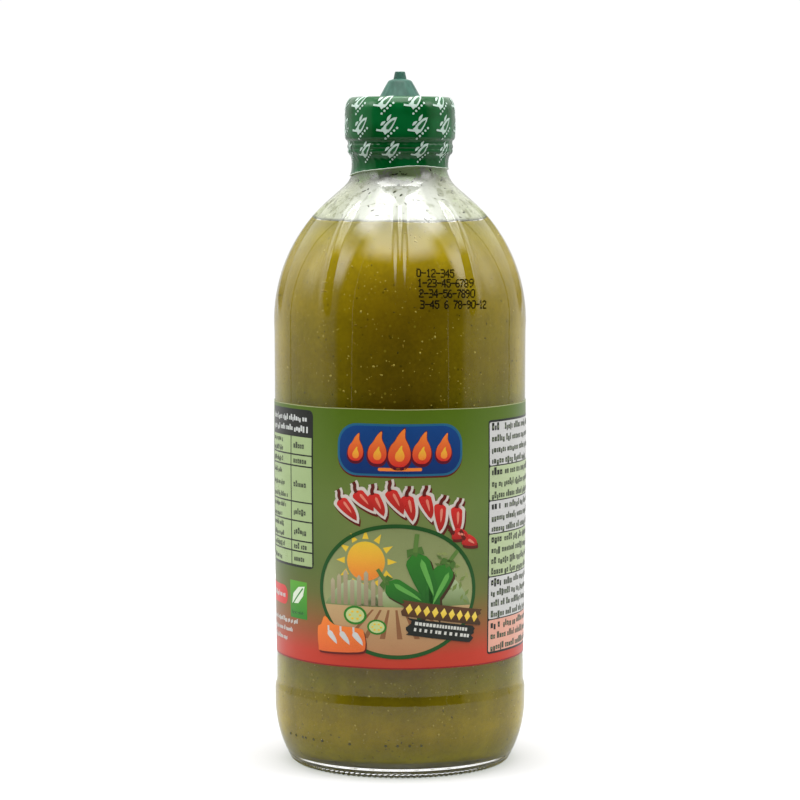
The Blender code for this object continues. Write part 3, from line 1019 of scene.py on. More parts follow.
@dataclass
class GlassBottle:
    """The pressed bottle: barrel body, label panel, ribbed shoulder, neck and knurled foot.

    Attributes are sizes of the real bottle in metres and degrees.
    """

    body_r: float = 0.0355
    shoulder_z: float = 0.1247
    shoulder_arc_r: float = 0.0449
    slope: float = 49.0
    neck_r: float = 0.01315
    neck_fillet_r: float = 0.0080
    mouth_z: float = 0.1848
    lip: float = 0.0008
    heel_z: float = 0.0177
    heel_arc_r: float = 0.0344
    heel_low_z: float = 0.0009
    foot_outer_r: float = 0.0299
    foot_inner_r: float = 0.0262
    push_up: float = 0.0014
    panel_top_r: float = 0.0354
    panel_top_z: float = 0.1215
    panel_low_r: float = 0.0350
    panel_low_z: float = 0.0236
    panel_step: float = 0.0028
    wall: float = 0.0027
    cavity_floor_z: float = 0.0048
    cavity_corner_r: float = 0.0092
    cavity_crown: float = 0.0028
    ribs: int = 10
    rib_w: float = 0.0048
    rib_h: float = 0.00080
    rib_top_z: float = 0.1606
    rib_low_z: float = 0.1255
    rib_rise: float = 0.0062
    rib_fade: float = 0.0080
    rib_columns: int = 22
    plain_columns: int = 26
    teeth: int = 120
    tooth_depth: float = 0.00030
    bead_top_z: float = 0.0036
    bead_pitch: float = 0.0013
    bead_depth: float = 0.00010
    label_back: float = 0.00017
    label_radii: tuple[Point, ...] = ((0.0312, 0.03506), (0.0585, 0.03541), (0.0855, 0.03562),
                                      (0.1024, 0.03550))

    def fillet_centre(self) -> Point:
        """Centre of the neck fillet, so that the slope is tangent to both arcs."""
        lean = math.radians(self.slope)
        low_r = self.body_r - self.shoulder_arc_r + self.shoulder_arc_r * math.cos(lean)
        low_z = self.shoulder_z + self.shoulder_arc_r * math.sin(lean)
        centre_r = self.neck_r + self.neck_fillet_r
        top_r = centre_r - self.neck_fillet_r * math.cos(lean)
        top_z = low_z + (low_r - top_r) / math.tan(lean)
        return centre_r, top_z + self.neck_fillet_r * math.sin(lean)

    def shoulder_centre(self) -> Point:
        """Centre of the shoulder arc."""
        return self.body_r - self.shoulder_arc_r, self.shoulder_z

    def neck_to_body(self, wall: float, fillet_steps: int, shoulder_steps: int) -> Profile:
        """Neck fillet, slope and shoulder arc.

        Args:
            wall: How far inside the glass's outside the profile runs.
            fillet_steps: Steps on the fillet.
            shoulder_steps: Steps on the shoulder.

        Returns:
            The points from the neck down to the body.
        """
        fillet = arc(self.fillet_centre(), self.neck_fillet_r + wall, 180.0, 180.0 + self.slope,
                     fillet_steps)
        shoulder = arc(self.shoulder_centre(), self.shoulder_arc_r - wall, self.slope, 0.0,
                       shoulder_steps)
        return fillet + line(fillet[-1], shoulder[0], 3)[:-1] + shoulder

    def label_radius(self, height: float | np.ndarray) -> np.ndarray:
        """Outer radius of the label at a height."""
        zs = [z for z, _ in self.label_radii]
        rs = [r for _, r in self.label_radii]
        return np.interp(height, zs, rs)

    def label_wander(self, angles: np.ndarray) -> np.ndarray:
        """How far the label's cut edges stray up and down."""
        return 0.00010 * np.sin(2 * angles + 0.6) + 0.00004 * np.sin(9 * angles)

    def panel(self) -> Profile:
        """The label panel between its two soft steps, from the shoulder down to the heel."""
        points = []
        for share in np.linspace(0.12, 1.0, 6):
            z = self.shoulder_z + (self.panel_top_z - self.shoulder_z) * share
            points.append((self.body_r + (self.panel_top_r - self.body_r) * float(smooth(share)), z))
        low, high = self.label_radii[0][0], self.label_radii[-1][0]
        bed = [(float(self.label_radius(z)) - self.label_back, float(z))
               for z in np.linspace(high - 0.001, low + 0.001, 11)]
        points += line(points[-1], bed[0], 4)[:-1] + bed
        points += line(bed[-1], (self.panel_low_r, low - 0.003), 2)
        points += line(points[-1], (self.panel_low_r, self.panel_low_z + 0.0006), 4)
        for share in np.linspace(0.0, 1.0, 11):
            z = self.panel_low_z - self.panel_step * share
            points.append((self.panel_low_r + (self.body_r - self.panel_low_r) * float(smooth(share)), z))
        return points

    def heel_radius(self, height: float) -> float:
        """Outer radius of the heel's arc at a height."""
        drop = self.heel_z - height
        return self.body_r - self.heel_arc_r + math.sqrt(self.heel_arc_r ** 2 - drop ** 2)

    def outside(self) -> Profile:
        """Outside of the glass from the mouth to the middle of the foot."""
        points = arc((self.neck_r - self.lip, self.mouth_z - self.lip), self.lip, 90.0, 0.0, 4)
        points += self.neck_to_body(0.0, 12, 38)
        points += self.panel()
        for z in np.linspace(self.heel_z - 0.0012, self.bead_top_z, 12):
            points.append((self.heel_radius(float(z)), float(z)))
        for z in np.linspace(self.bead_top_z, self.heel_low_z, 15)[1:]:
            wave = 0.5 - 0.5 * math.cos(2 * math.pi * (self.bead_top_z - z) / self.bead_pitch)
            points.append((self.heel_radius(float(z)) - self.bead_depth * wave, float(z)))
        points += [(self.foot_outer_r + 0.0006, 0.00035), (self.foot_outer_r + 0.00025, 0.0001),
                   (self.foot_outer_r, 0.0), (self.foot_inner_r, 0.0),
                   (self.foot_inner_r - 0.0004, 0.0002), (self.foot_inner_r - 0.0014, 0.0007)]
        points += [(0.0205, self.push_up * 0.68), (0.0160, self.push_up * 0.84),
                   (0.0080, self.push_up * 0.96), (0.0, self.push_up)]
        return points

    def inside(self, inset: float = 0.0, top_z: float | None = None) -> Profile:
        """Inside of the glass from the mouth, or from a level, to the middle of the floor.

        Args:
            inset: How far inside the cavity's wall the profile runs.
            top_z: Level where it starts, or None for the mouth.

        Returns:
            The points downwards.
        """
        wall = self.wall + inset
        points = [(self.neck_r - wall, self.mouth_z)] + self.neck_to_body(wall, 8, 20)
        if top_z is not None:
            below = [p for p in points if p[1] < top_z]
            radius = float(np.interp(top_z, [p[1] for p in reversed(points)],
                                     [p[0] for p in reversed(points)]))
            points = [(radius, top_z)] + below
        inner_r = self.panel_low_r - wall
        corner = (inner_r - self.cavity_corner_r + inset, self.cavity_floor_z + self.cavity_corner_r)
        last = points[-1]
        points += line(last, (inner_r, corner[1]), 9)[:-1]
        points += arc(corner, self.cavity_corner_r - inset, 0.0, -90.0, 10)
        floor = self.cavity_floor_z + inset
        points += [(0.0180, floor + self.cavity_crown * 0.35), (0.0110, floor + self.cavity_crown * 0.7),
                   (0.0050, floor + self.cavity_crown * 0.93), (0.0, floor + self.cavity_crown)]
        return points

    def columns(self, radius: float, height: float) -> np.ndarray:
        """Column angles: close on each rib at the shoulder, and even at the foot."""
        sector = 2 * math.pi / self.ribs
        half = 0.5 * self.rib_w / max(radius, self.neck_r)
        shares = np.linspace(-1.0, 1.0, self.rib_columns)
        gaps = np.arange(1, self.plain_columns + 1) / (self.plain_columns + 1)
        one = np.concatenate([shares * half, half + gaps * (sector - 2 * half)])
        even = (np.arange(len(one)) - (self.rib_columns - 1) / 2) * sector / len(one)
        share = float(smooth((height - 0.012) / 0.08))
        angles = [FRONT + rib * sector + even + (one - even) * share for rib in range(self.ribs)]
        return np.concatenate(angles)

    def relief(self, row: int, angles: np.ndarray, r: float, z: float) -> tuple[np.ndarray, np.ndarray]:
        """Raises the shoulder ribs and cuts the teeth of the foot."""
        sector = 2 * math.pi / self.ribs
        off = (angles - FRONT + sector / 2) % sector - sector / 2
        across = np.abs(off) * max(r, self.neck_r) / (self.rib_w / 2)
        along = smooth((self.rib_top_z - z) / self.rib_rise) * smooth((z - self.rib_low_z) / self.rib_fade)
        height = self.rib_h * smooth(1.0 - across) * along
        lean = math.asin(min(max((z - self.shoulder_z) / self.shoulder_arc_r, 0.0), 1.0))
        radii, heights = r + height * math.cos(lean), z + height * math.sin(lean)
        if z < self.heel_low_z + 0.0004 and self.foot_inner_r <= r <= self.foot_outer_r + 0.002:
            bite = 0.5 + 0.5 * np.cos(self.teeth * (angles - FRONT) + 900.0 * z)
            edge = float(smooth((r - self.foot_inner_r) / 0.0012))
            radii = radii - self.tooth_depth * bite * edge
            heights = heights + self.tooth_depth * 0.5 * bite * edge
        return radii, heights

    def build(self) -> None:
        """Builds the glass and its mould dots."""
        inner = self.inside()[::-1]
        rim = [(self.neck_r - self.wall, self.mouth_z - self.lip * 0.6),
               (self.neck_r - self.wall + self.lip * 0.5, self.mouth_z)]
        profile = inner[:-1] + rim + self.outside()
        inner_rows = len(inner) + 1

        def shape(row: int, angles: np.ndarray, r: float, z: float) -> tuple[np.ndarray, np.ndarray]:
            """Leaves the inside plain."""
            if row < inner_rows:
                return np.full(len(angles), r), np.full(len(angles), z)
            return self.relief(row, angles, r, z)

        mesh = turned_mesh("glass_bottle", profile, self.columns, shape)
        settle(add_piece("glass_bottle", mesh, [GLASS], 60.0), "clear_glass", "bottle")
        self.build_mould_dots()

    def build_mould_dots(self) -> None:
        """Small raised dots of the mould's number, low on the heel, in rows of five, their glass tinted dark as
        painted shade.
        """
        places, normals = [], []
        dot_z = 0.0099
        swing = math.asin((self.heel_z - dot_z) / self.heel_arc_r)
        radius = self.body_r - self.heel_arc_r + self.heel_arc_r * math.cos(swing)
        for start, count, skip in ((-23.5, 1, 0), (-6.5, 4, 0), (-62.0, 3, 0), (-49.0, 3, 0),
                                   (120.0, 5, 2), (170.0, 4, 0), (215.0, 5, 3)):
            for i in range(count):
                if skip and i == skip:
                    continue
                angle = FRONT + math.radians(start + 5.4 * i)
                way = (math.cos(angle) * math.cos(swing), math.sin(angle) * math.cos(swing),
                       -math.sin(swing))
                places.append((radius * math.cos(angle), radius * math.sin(angle), dot_z))
                normals.append(way)
        base = facing_points("mould_dot_points", np.array(places), np.array(normals))
        values = {"Dot": small_shape("mould_dot", BitShape.DOME), "Size": 0.00095,
                  "Material": DARKENED_DOT_GLASS.material()}
        mesh = dots_tree().bake(base, "mould_dots", values)
        settle(add_piece("mould_dots", mesh, [DARKENED_DOT_GLASS]), "clear_glass")


# Sauce


@dataclass
class SauceFill:
    """The sauce up to its level, the bits in it and what it left on the glass above.

    Attributes:
        glass: The bottle that holds it.
        level: Height of the sauce's top.
        reach: How far the sauce reaches into the glass, so that no air shows between them.
        creep: How far it climbs the glass at its edge.
        swell: Height of the unevenness of its top.
        columns: Columns of its mesh.
        seed: Start of every random draw.
    """

    glass: GlassBottle
    level: float = 0.1516
    reach: float = 0.00015
    creep: float = 0.00030
    swell: float = 0.00012
    columns: int = 240
    seed: int = 11

    def top(self, radius: float) -> Profile:
        """Rings of the sauce's top from the middle out to the glass."""
        shares = (0.0, 0.12, 0.25, 0.4, 0.55, 0.7, 0.8, 0.88, 0.93, 0.965, 0.985)
        return [(radius * s, self.level + self.creep * float(smooth((s - 0.86) / 0.14))) for s in shares]

    def build(self) -> None:
        """Builds the fill, its bits and the residue."""
        wall = self.glass.inside(-self.reach, self.level + self.creep)
        top = self.top(wall[0][0])
        rows = len(top)

        def shape(row: int, angles: np.ndarray, r: float, z: float) -> tuple[np.ndarray, np.ndarray]:
            """Makes the top uneven."""
            heights = np.full(len(angles), z)
            if row <= rows:
                edge = r / wall[0][0]
                heights += self.swell * edge * (np.sin(3 * angles + 1.1) + 0.6 * np.sin(7 * angles + r * 900)
                                                + 0.4 * np.sin(17 * angles))
            return np.full(len(angles), r), heights

        mesh = turned_mesh("sauce_fill", top + wall, even_columns(self.columns), shape)
        settle(add_piece("sauce_fill", mesh, [SAUCE], 70.0), "pepper_sauce", "sauce")
        self.build_bits()
        self.build_residue()

    def build_bits(self) -> None:
        """Scatters seeds, shreds of skin and dark bits at the glass, by Geometry Nodes."""
        tree = bits_tree()
        kinds = (
            ("pale_bits", BitShape.SEED, PALE_BITS, 95000.0, 0.00018, 0.00055),
            ("seed_bits", BitShape.SEED, PALE_BITS, 14000.0, 0.0005, 0.0010),
            ("dark_bits", BitShape.SHRED, DARK_BITS, 26000.0, 0.00022, 0.0007),
            ("skin_bits", BitShape.SHRED, SKIN_BITS, 20000.0, 0.0003, 0.0009),
        )
        for number, (name, form, finish, density, smallest, largest) in enumerate(kinds):
            wall = self.glass.inside(-self.reach, self.level)
            base = turned_mesh(name + "_base", [(0.0, self.level)] + wall, even_columns(72))
            self.keep_sides(base)
            values = {"Bit": small_shape(name + "_shape", form), "Density": density,
                      "Seed": self.seed + number, "Smallest": smallest, "Largest": largest,
                      "Material": finish.material()}
            mesh = tree.bake(base, name, values)
            settle(add_piece(name, mesh, [finish], 180.0), "pepper_sauce")

    def keep_sides(self, mesh: bpy.types.Mesh) -> None:
        """Leaves only the faces along the glass, where bits can be seen."""
        bm = bmesh.new()
        bm.from_mesh(mesh)
        hidden = [f for f in bm.faces if abs(f.normal.z) > 0.9]
        label_low = self.glass.label_radii[0][0] + 0.002
        label_high = self.glass.label_radii[-1][0] - 0.002
        hidden += [f for f in bm.faces if f not in hidden
                   and label_low < f.calc_center_median().z < label_high]
        bmesh.ops.delete(bm, geom=hidden, context="FACES")
        bm.to_mesh(mesh)
        bm.free()

    def build_residue(self) -> None:
        """The thin dried film on the wall above the sauce, with loose specks in it."""
        foot = self.glass.inside(-0.00006, self.level + 0.0004)[0]
        outer = [p for p in self.glass.inside(-0.00006) if p[1] > foot[1] + 0.0001] + [foot]
        thin = [(r - 0.00002, z) for r, z in reversed(outer)]
        mesh = turned_mesh("dried_film", outer + thin, even_columns(180), ring=True)
        settle(add_piece("dried_film", mesh, [RESIDUE], 180.0), "pepper_sauce")
        base = turned_mesh("speck_base", outer + thin, even_columns(60), ring=True)
        values = {"Bit": small_shape("film_speck_shape", BitShape.SHRED), "Density": 42000.0,
                  "Seed": self.seed + 9, "Smallest": 0.0003, "Largest": 0.0012,
                  "Material": DARK_BITS.material()}
        mesh = bits_tree().bake(base, "film_specks", values)
        settle(add_piece("film_specks", mesh, [DARK_BITS], 180.0), "pepper_sauce")


# Print


class Wrap(Protocol):
    """A turned surface that takes flat print."""

    cut_u: float
    cut_v: float

    def place(self, u: np.ndarray, v: np.ndarray, lift: float) -> np.ndarray:
        """Where flat points come to lie, lifted off the surface by a distance."""
        ...


@dataclass
class LabelWrap:
    """The paper's outside. u and v are millimetres round the front and up from the foot.

    Attributes:
        glass: The bottle, which knows the label's radii.
        cut_u: Width of a print face before it is bent.
        cut_v: Height of a print face before it is bent.
    """

    glass: GlassBottle
    cut_u: float = 1.0
    cut_v: float = 4.5

    def place(self, u: np.ndarray, v: np.ndarray, lift: float) -> np.ndarray:
        """Wraps points round the label."""
        angle = u * MM / self.glass.body_r
        radius = self.glass.label_radius(v * MM) + lift
        height = v * MM + self.glass.label_wander(angle + FRONT)
        return np.stack([radius * np.sin(angle), -radius * np.cos(angle), height], axis=1)


@dataclass
class ProfileWrap:
    """The outside of a turned profile. v is millimetres along it from its lower end.

    Attributes:
        profile: The profile, upper end first.
        spread_r: Radius at which u is true to size.
        cut_u: Width of a print face before it is bent.
        cut_v: Height of a print face before it is bent.
    """

    profile: Profile
    spread_r: float
    cut_u: float = 0.7
    cut_v: float = 0.6

    def place(self, u: np.ndarray, v: np.ndarray, lift: float) -> np.ndarray:
        """Wraps points round the profile."""
        points = np.array(self.profile[::-1])
        steps = np.hypot(*np.diff(points, axis=0).T)
        along = np.concatenate([[0.0], np.cumsum(steps)])
        way = np.gradient(points, along, axis=0)
        way /= np.linalg.norm(way, axis=1)[:, None]
        at = v * MM
        r = np.interp(at, along, points[:, 0]) + lift * np.interp(at, along, way[:, 1])
        z = np.interp(at, along, points[:, 1]) - lift * np.interp(at, along, way[:, 0])
        angle = u * MM / self.spread_r
        return np.stack([r * np.sin(angle), -r * np.cos(angle), z], axis=1)

    def height(self) -> float:
        """Length of the profile in millimetres."""
        points = np.array(self.profile)
        return float(np.hypot(*np.diff(points, axis=0).T).sum() / MM)


@dataclass
class PrintSheet:
    """Flat printed shapes that share one surface and become one piece.

    Attributes:
        name: The piece's name.
        wrap: The surface that they are wrapped round.
        finish: The ink.
        slot: The record's slot.
        base_lift: Distance of the lowest layer from the surface.
        layer_lift: Distance between layers.
        thickness: Thickness of the ink.
    """

    name: str
    wrap: Wrap
    finish: Finish
    slot: str = "printed_label"
    base_lift: float = 0.00001
    layer_lift: float = 0.000016
    thickness: float = 0.000006
    shapes: list[tuple[list[Point], int, Colour, Colour]] = field(default_factory=list)

    def shape(self, outline: Sequence[Point], layer: int, ink: Colour,
              top_ink: Colour | None = None) -> None:
        """Adds a filled outline.

        Args:
            outline: Its corners in millimetres.
            layer: Which layer it lies on, 0 lowest.
            ink: Its colour, at its lowest point where there are two.
            top_ink: Its colour at its highest point.
        """
        self.shapes.append((list(outline), layer, ink, top_ink or ink))

    def build(self) -> bpy.types.Object:
        """Cuts the shapes up, wraps them and gives them their thickness.

        Returns:
            The finished piece.
        """
        meshes = [self.wrapped(layer) for layer in sorted({s[1] for s in self.shapes})]
        bm = bmesh.new()
        for mesh in meshes:
            bm.from_mesh(mesh)
        joined = bpy.data.meshes.new(self.name)
        bm.to_mesh(joined)
        bm.free()
        piece = add_piece(self.name, joined, [self.finish])
        settle(piece, self.slot)
        return piece

    def wrapped(self, layer: int) -> bpy.types.Mesh:
        """One layer's shapes, wrapped and closed."""
        bm = bmesh.new()
        ink_layer = bm.verts.layers.float_color.new("ink")
        for outline, _, ink, top_ink in [s for s in self.shapes if s[1] == layer]:
            turn = sum(a[0] * b[1] - b[0] * a[1] for a, b in zip(outline, outline[1:] + outline[:1]))
            corners = outline if turn > 0 else outline[::-1]
            low = min(v for _, v in corners)
            rise = max(max(v for _, v in corners) - low, 1e-6)
            made = []
            for u, v in corners:
                vert = bm.verts.new((u, v, 0.0))
                share = (v - low) / rise
                vert[ink_layer] = rgba([a + (b - a) * share for a, b in zip(ink, top_ink)])
                made.append(vert)
            bm.faces.new(made)
        bm.normal_update()
        bmesh.ops.triangulate(bm, faces=bm.faces[:], ngon_method="EAR_CLIP")
        self.cut(bm, 0, self.wrap.cut_u)
        self.cut(bm, 1, self.wrap.cut_v)
        places = np.array([v.co[:2] for v in bm.verts])
        lift = self.base_lift + layer * self.layer_lift
        outer = self.wrap.place(places[:, 0], places[:, 1], lift)
        inner = self.wrap.place(places[:, 0], places[:, 1], lift - self.thickness)
        self.close(bm, outer, inner, ink_layer)
        mesh = bpy.data.meshes.new(f"{self.name}_{layer}")
        bm.to_mesh(mesh)
        bm.free()
        return mesh

    def cut(self, bm: bmesh.types.BMesh, axis: int, step: float) -> None:
        """Cuts every face along one axis at even steps."""
        values = [v.co[axis] for v in bm.verts]
        low, high = min(values), max(values)
        normal = (1.0, 0.0, 0.0) if axis == 0 else (0.0, 1.0, 0.0)
        place = (math.floor(low / step) + 1) * step
        while place < high:
            at = [0.0, 0.0, 0.0]
            at[axis] = place + 1e-4
            geometry = bm.verts[:] + bm.edges[:] + bm.faces[:]
            bmesh.ops.bisect_plane(bm, geom=geometry, dist=1e-5, plane_co=at, plane_no=normal)
            place += step

    def close(self, bm: bmesh.types.BMesh, outer: np.ndarray, inner: np.ndarray,
              ink_layer: bmesh.types.BMLayerItem) -> None:
        """Puts the faces at their place and closes them with a back and a rim.

        Args:
            bm: The flat faces.
            outer: Where their points lie.
            inner: Where the back's points lie.
            ink_layer: The ink's layer.
        """
        bm.verts.ensure_lookup_table()
        front = list(bm.verts)
        faces = list(bm.faces)
        rims = [e for e in bm.edges if len(e.link_faces) == 1]
        index = {v: i for i, v in enumerate(front)}
        back = []
        for vert, place in zip(front, inner):
            twin = bm.verts.new(place)
            twin[ink_layer] = vert[ink_layer]
            back.append(twin)
        for vert, place in zip(front, outer):
            vert.co = place
        for face in faces:
            bm.faces.new([back[index[v]] for v in reversed(face.verts)])
        for edge in rims:
            loop = edge.link_loops[0]
            first, second = loop.vert, loop.link_loop_next.vert
            bm.faces.new((second, first, back[index[first]], back[index[second]]))


def box_outline(left: float, low: float, right: float, high: float) -> list[Point]:
    """An upright rectangle."""
    return [(left, low), (right, low), (right, high), (left, high)]


def rounded(left: float, low: float, right: float, high: float, corner: float,
            steps: int = 5) -> list[Point]:
    """A rectangle with round corners."""
    points: list[Point] = []
    for cx, cy, start in ((right - corner, low + corner, -90.0), (right - corner, high - corner, 0.0),
                          (left + corner, high - corner, 90.0), (left + corner, low + corner, 180.0)):
        points += arc((cx, cy), corner, start, start + 90.0, steps)
    return points


def oval(cx: float, cy: float, half_w: float, half_h: float, steps: int = 48,
         start: float = 0.0, end: float = 360.0) -> list[Point]:
    """An ellipse, or a part of one."""
    whole = end - start >= 360.0
    count = steps if whole else steps + 1
    angles = [math.radians(start + (end - start) * i / steps) for i in range(count)]
    return [(cx + half_w * math.cos(a), cy + half_h * math.sin(a)) for a in angles]


def moved(outline: Sequence[Point], cx: float, cy: float, turn: float = 0.0,
          size: float = 1.0) -> list[Point]:
    """An outline round the origin, sized, turned in degrees and moved."""
    c, s = math.cos(math.radians(turn)) * size, math.sin(math.radians(turn)) * size
    return [(cx + x * c - y * s, cy + x * s + y * c) for x, y in outline]


def pepper_outline(length: float, width: float, bend: float, steps: int = 14) -> list[Point]:
    """A long pepper, its stem end at the origin and its tip to the right, bent sideways."""
    upper, lower = [], []
    for i in range(steps + 1):
        t = (i / steps) ** 1.7
        x = length * t
        middle = bend * math.sin(math.pi * t * 0.5) ** 2
        half = width / 2 * (smooth(t / 0.16) if t < 0.16 else (1 - ((t - 0.16) / 0.84) ** 2.2) ** 0.8)
        upper.append((x, middle + float(half)))
        lower.append((x, middle - float(half)))
    return lower + upper[-2:0:-1]


def flowing(rough: Sequence[Point], steps: int, closed: bool = False) -> list[Point]:
    """A Catmull-Rom line through the given points.

    Args:
        rough: The points.
        steps: Steps from one point to the next.
        closed: Whether the line runs back to its start.

    Returns:
        The line's points.
    """
    count = len(rough)
    points: list[Point] = []
    for i in range(count if closed else count - 1):
        near = [(i + k) % count if closed else min(max(i + k, 0), count - 1) for k in (-1, 0, 1, 2)]
        p0, p1, p2, p3 = (np.array(rough[k]) for k in near)
        for step in range(steps):
            t = step / steps
            place = 0.5 * (2 * p1 + (p2 - p0) * t + (2 * p0 - 5 * p1 + 4 * p2 - p3) * t ** 2
                           + (3 * p1 - p0 - 3 * p2 + p3) * t ** 3)
            points.append((float(place[0]), float(place[1])))
    return points if closed else points + [rough[-1]]


def band(points: Sequence[Point], half: float) -> list[Point]:
    """A stripe of even width along a line of points."""
    left, right = [], []
    for i, (x, y) in enumerate(points):
        a, b = points[max(i - 1, 0)], points[min(i + 1, len(points) - 1)]
        dx, dy = b[0] - a[0], b[1] - a[1]
        size = math.hypot(dx, dy)
        left.append((x - dy / size * half, y + dx / size * half))
        right.append((x + dy / size * half, y - dx / size * half))
    return right + left[::-1]


@dataclass
class WrapLabel:
    """The paper label and its print: a made-up design in fields and simple shapes.

    Attributes:
        glass: The bottle that it is glued to.
        paper_t: Thickness of the paper.
        overlap: Width of the glued overlap at the back, in metres.
        columns: Columns of the paper's mesh.
        seed: Start of every random draw.
    """

    glass: GlassBottle
    paper_t: float = 0.00015
    overlap: float = 0.009
    columns: int = 320
    seed: int = 5

    white: Colour = (0.58, 0.58, 0.56)
    pale_green: Colour = (0.44, 0.53, 0.30)
    cell_green: Colour = (0.36, 0.47, 0.22)
    pink: Colour = (0.72, 0.36, 0.27)
    black: Colour = (0.015, 0.017, 0.013)
    text: Colour = (0.055, 0.07, 0.04)
    blue: Colour = (0.008, 0.055, 0.21)
    light_blue: Colour = (0.02, 0.12, 0.22)
    red: Colour = (0.62, 0.028, 0.022)
    dark_red: Colour = (0.11, 0.012, 0.008)
    orange: Colour = (0.84, 0.22, 0.035)
    yellow: Colour = (0.78, 0.52, 0.04)
    leaf: Colour = (0.03, 0.20, 0.02)
    deep_leaf: Colour = (0.012, 0.075, 0.012)
    earth: Colour = (0.42, 0.20, 0.09)
    dark_earth: Colour = (0.055, 0.028, 0.012)

    def build(self) -> None:
        """Builds the paper and every group of print."""
        self.build_paper()
        wrap = LabelWrap(self.glass)
        for name, draw in (("print_edges", self.draw_edges), ("print_badge", self.draw_badge), ("print_row", self.draw_row),
                           ("print_picture", self.draw_picture), ("print_banner", self.draw_banner),
                           ("print_table", self.draw_table), ("print_panel", self.draw_panel),
                           ("print_back", self.draw_back)):
            sheet = PrintSheet(name, wrap, INK)
            draw(sheet)
            sheet.build()

    def build_paper(self) -> None:
        """The paper, a closed thin wrap whose last stretch lies over its first at the back."""
        low, high = self.glass.label_radii[0][0], self.glass.label_radii[-1][0]
        heights = np.linspace(high, low, 22)
        outer = [(float(self.glass.label_radius(z)), float(z)) for z in heights]
        inner = [(r - self.paper_t, z) for r, z in reversed(outer)]
        step = self.overlap / self.glass.body_r

        def shape(row: int, angles: np.ndarray, r: float, z: float) -> tuple[np.ndarray, np.ndarray]:
            """Lifts the overlap and lets the cut edges wander a little."""
            from_back = (angles - FRONT) % (2 * math.pi) - math.pi
            lift = 0.00012 * smooth((from_back + 0.004) / 0.008) * smooth((step - from_back) / 0.03)
            return r + lift, z + self.glass.label_wander(angles)

        mesh = turned_mesh("paper_wrap", outer + inner, even_columns(self.columns), shape, ring=True)
        settle(add_piece("paper_wrap", mesh, [PAPER], 50.0), "printed_label", "label")

    def words(self, sheet: PrintSheet, draw: random.Random, left: float, right: float, base: float,
              height: float, ink: Colour, layer: int = 3, fill: float = 1.0) -> None:
        """A line of strokes that stand for small print without being letters.

        Args:
            sheet: The sheet to print on.
            draw: Source of chance.
            left: Where the line starts.
            right: Where it ends at the latest.
            base: Its base line.
            height: Height of its taller strokes.
            ink: Its colour.
            layer: Its layer.
            fill: Share of the line that is used.
        """
        u = left
        end = left + (right - left) * fill
        while u < end:
            for _ in range(draw.randint(2, 7)):
                wide = height * draw.choice((0.28, 0.4, 0.45, 0.5))
                if u + wide > end:
                    return
                tall = height * draw.choice((0.62, 0.66, 0.7, 1.0))
                drop = height * draw.choice((0.0, 0.0, 0.0, 0.22))
                sheet.shape(box_outline(u, base - drop, u + wide, base + tall - drop * 0.6), layer, ink)
                if draw.random() < 0.6 and wide > 0.36 * height:
                    inset = wide * 0.3
                    sheet.shape(box_outline(u + inset, base + tall * 0.28, u + wide - inset,
                                            base + tall * 0.6), layer + 1, self.half_tone(ink))
                u += wide + height * 0.14
            u += height * 0.35

    def half_tone(self, ink: Colour) -> Colour:
        """The colour that shows through the middle of a small stroke."""
        return tuple(0.5 * a + 0.5 * b for a, b in zip(ink, self.pale_green))

    def draw_edges(self, sheet: PrintSheet) -> None:
        """A pale band at the label's top, a painted highlight of its edge, and a dark red band at its bottom."""
        low, high = (z / MM for z in (self.glass.label_radii[0][0], self.glass.label_radii[-1][0]))
        # painted highlight: the pale band stands in for light caught by the label's top edge
        sheet.shape(box_outline(-111.3, high - 0.24, 111.3, high - 0.02), 0, (0.36, 0.37, 0.17))
        sheet.shape(box_outline(-111.3, low + 0.02, 111.3, low + 0.42), 0, (0.26, 0.012, 0.008))

    def draw_badge(self, sheet: PrintSheet) -> None:
        """A blue plaque with a row of red flames over a narrow bar."""
        plaque = rounded(-17.6, 84.2, 17.6, 98.4, 5.6, 8)
        sheet.shape(moved(plaque, 0.0, -0.5), 0, self.dark_red)
        sheet.shape(plaque, 1, self.light_blue)
        sheet.shape(rounded(-17.0, 84.8, 17.0, 97.8, 5.2, 8), 2, (0.006, 0.03, 0.14), self.blue)
        for i, size in enumerate((0.82, 0.95, 1.12, 0.95, 0.82)):
            u = (i - 2) * 6.1
            flame = flowing(self.flame_outline(), 4, True)
            sheet.shape(moved(flame, u, 91.6, -6.0, size * 1.13), 3, (0.10, 0.008, 0.02))
            sheet.shape(moved(flame, u, 91.9, -6.0, size), 4, self.red, self.orange)
            sheet.shape(moved(flame, u, 90.4, -6.0, size * 0.42), 5, self.orange, self.yellow)
        sheet.shape(rounded(-6.0, 85.6, 6.0, 86.5, 0.4), 3, self.orange)

    def flame_outline(self) -> list[Point]:
        """A flame about ten millimetres tall round the origin."""
        right = [(0.0, -4.6), (1.6, -4.2), (2.6, -2.8), (2.7, -1.0), (2.0, 0.9), (1.0, 2.6), (0.7, 4.8)]
        left = [(-0.6, 3.3), (-1.4, 1.6), (-2.3, 0.2), (-2.7, -1.6), (-2.4, -3.2), (-1.4, -4.3)]
        return right + left

    def draw_row(self, sheet: PrintSheet) -> None:
        """An arched row of red chillies with broad white rims over a dark red shadow."""
        for i in range(8):
            u = -17.2 + 4.75 * i
            v = 80.2 - 0.012 * (u + 1.0) ** 2 - 0.08 * u + (0.5 if i % 2 else -0.5)
            self.draw_chilli(sheet, u, v, -80.0 - 1.5 * u + (5.0 if i % 2 else -5.0), 8.0 - 0.4 * (i % 3), 5.2)
        for i, (u, v) in enumerate(((14.6, 68.6), (18.0, 67.0))):
            self.draw_chilli(sheet, u, v, -30.0 - 12.0 * i, 5.0, 0.0)

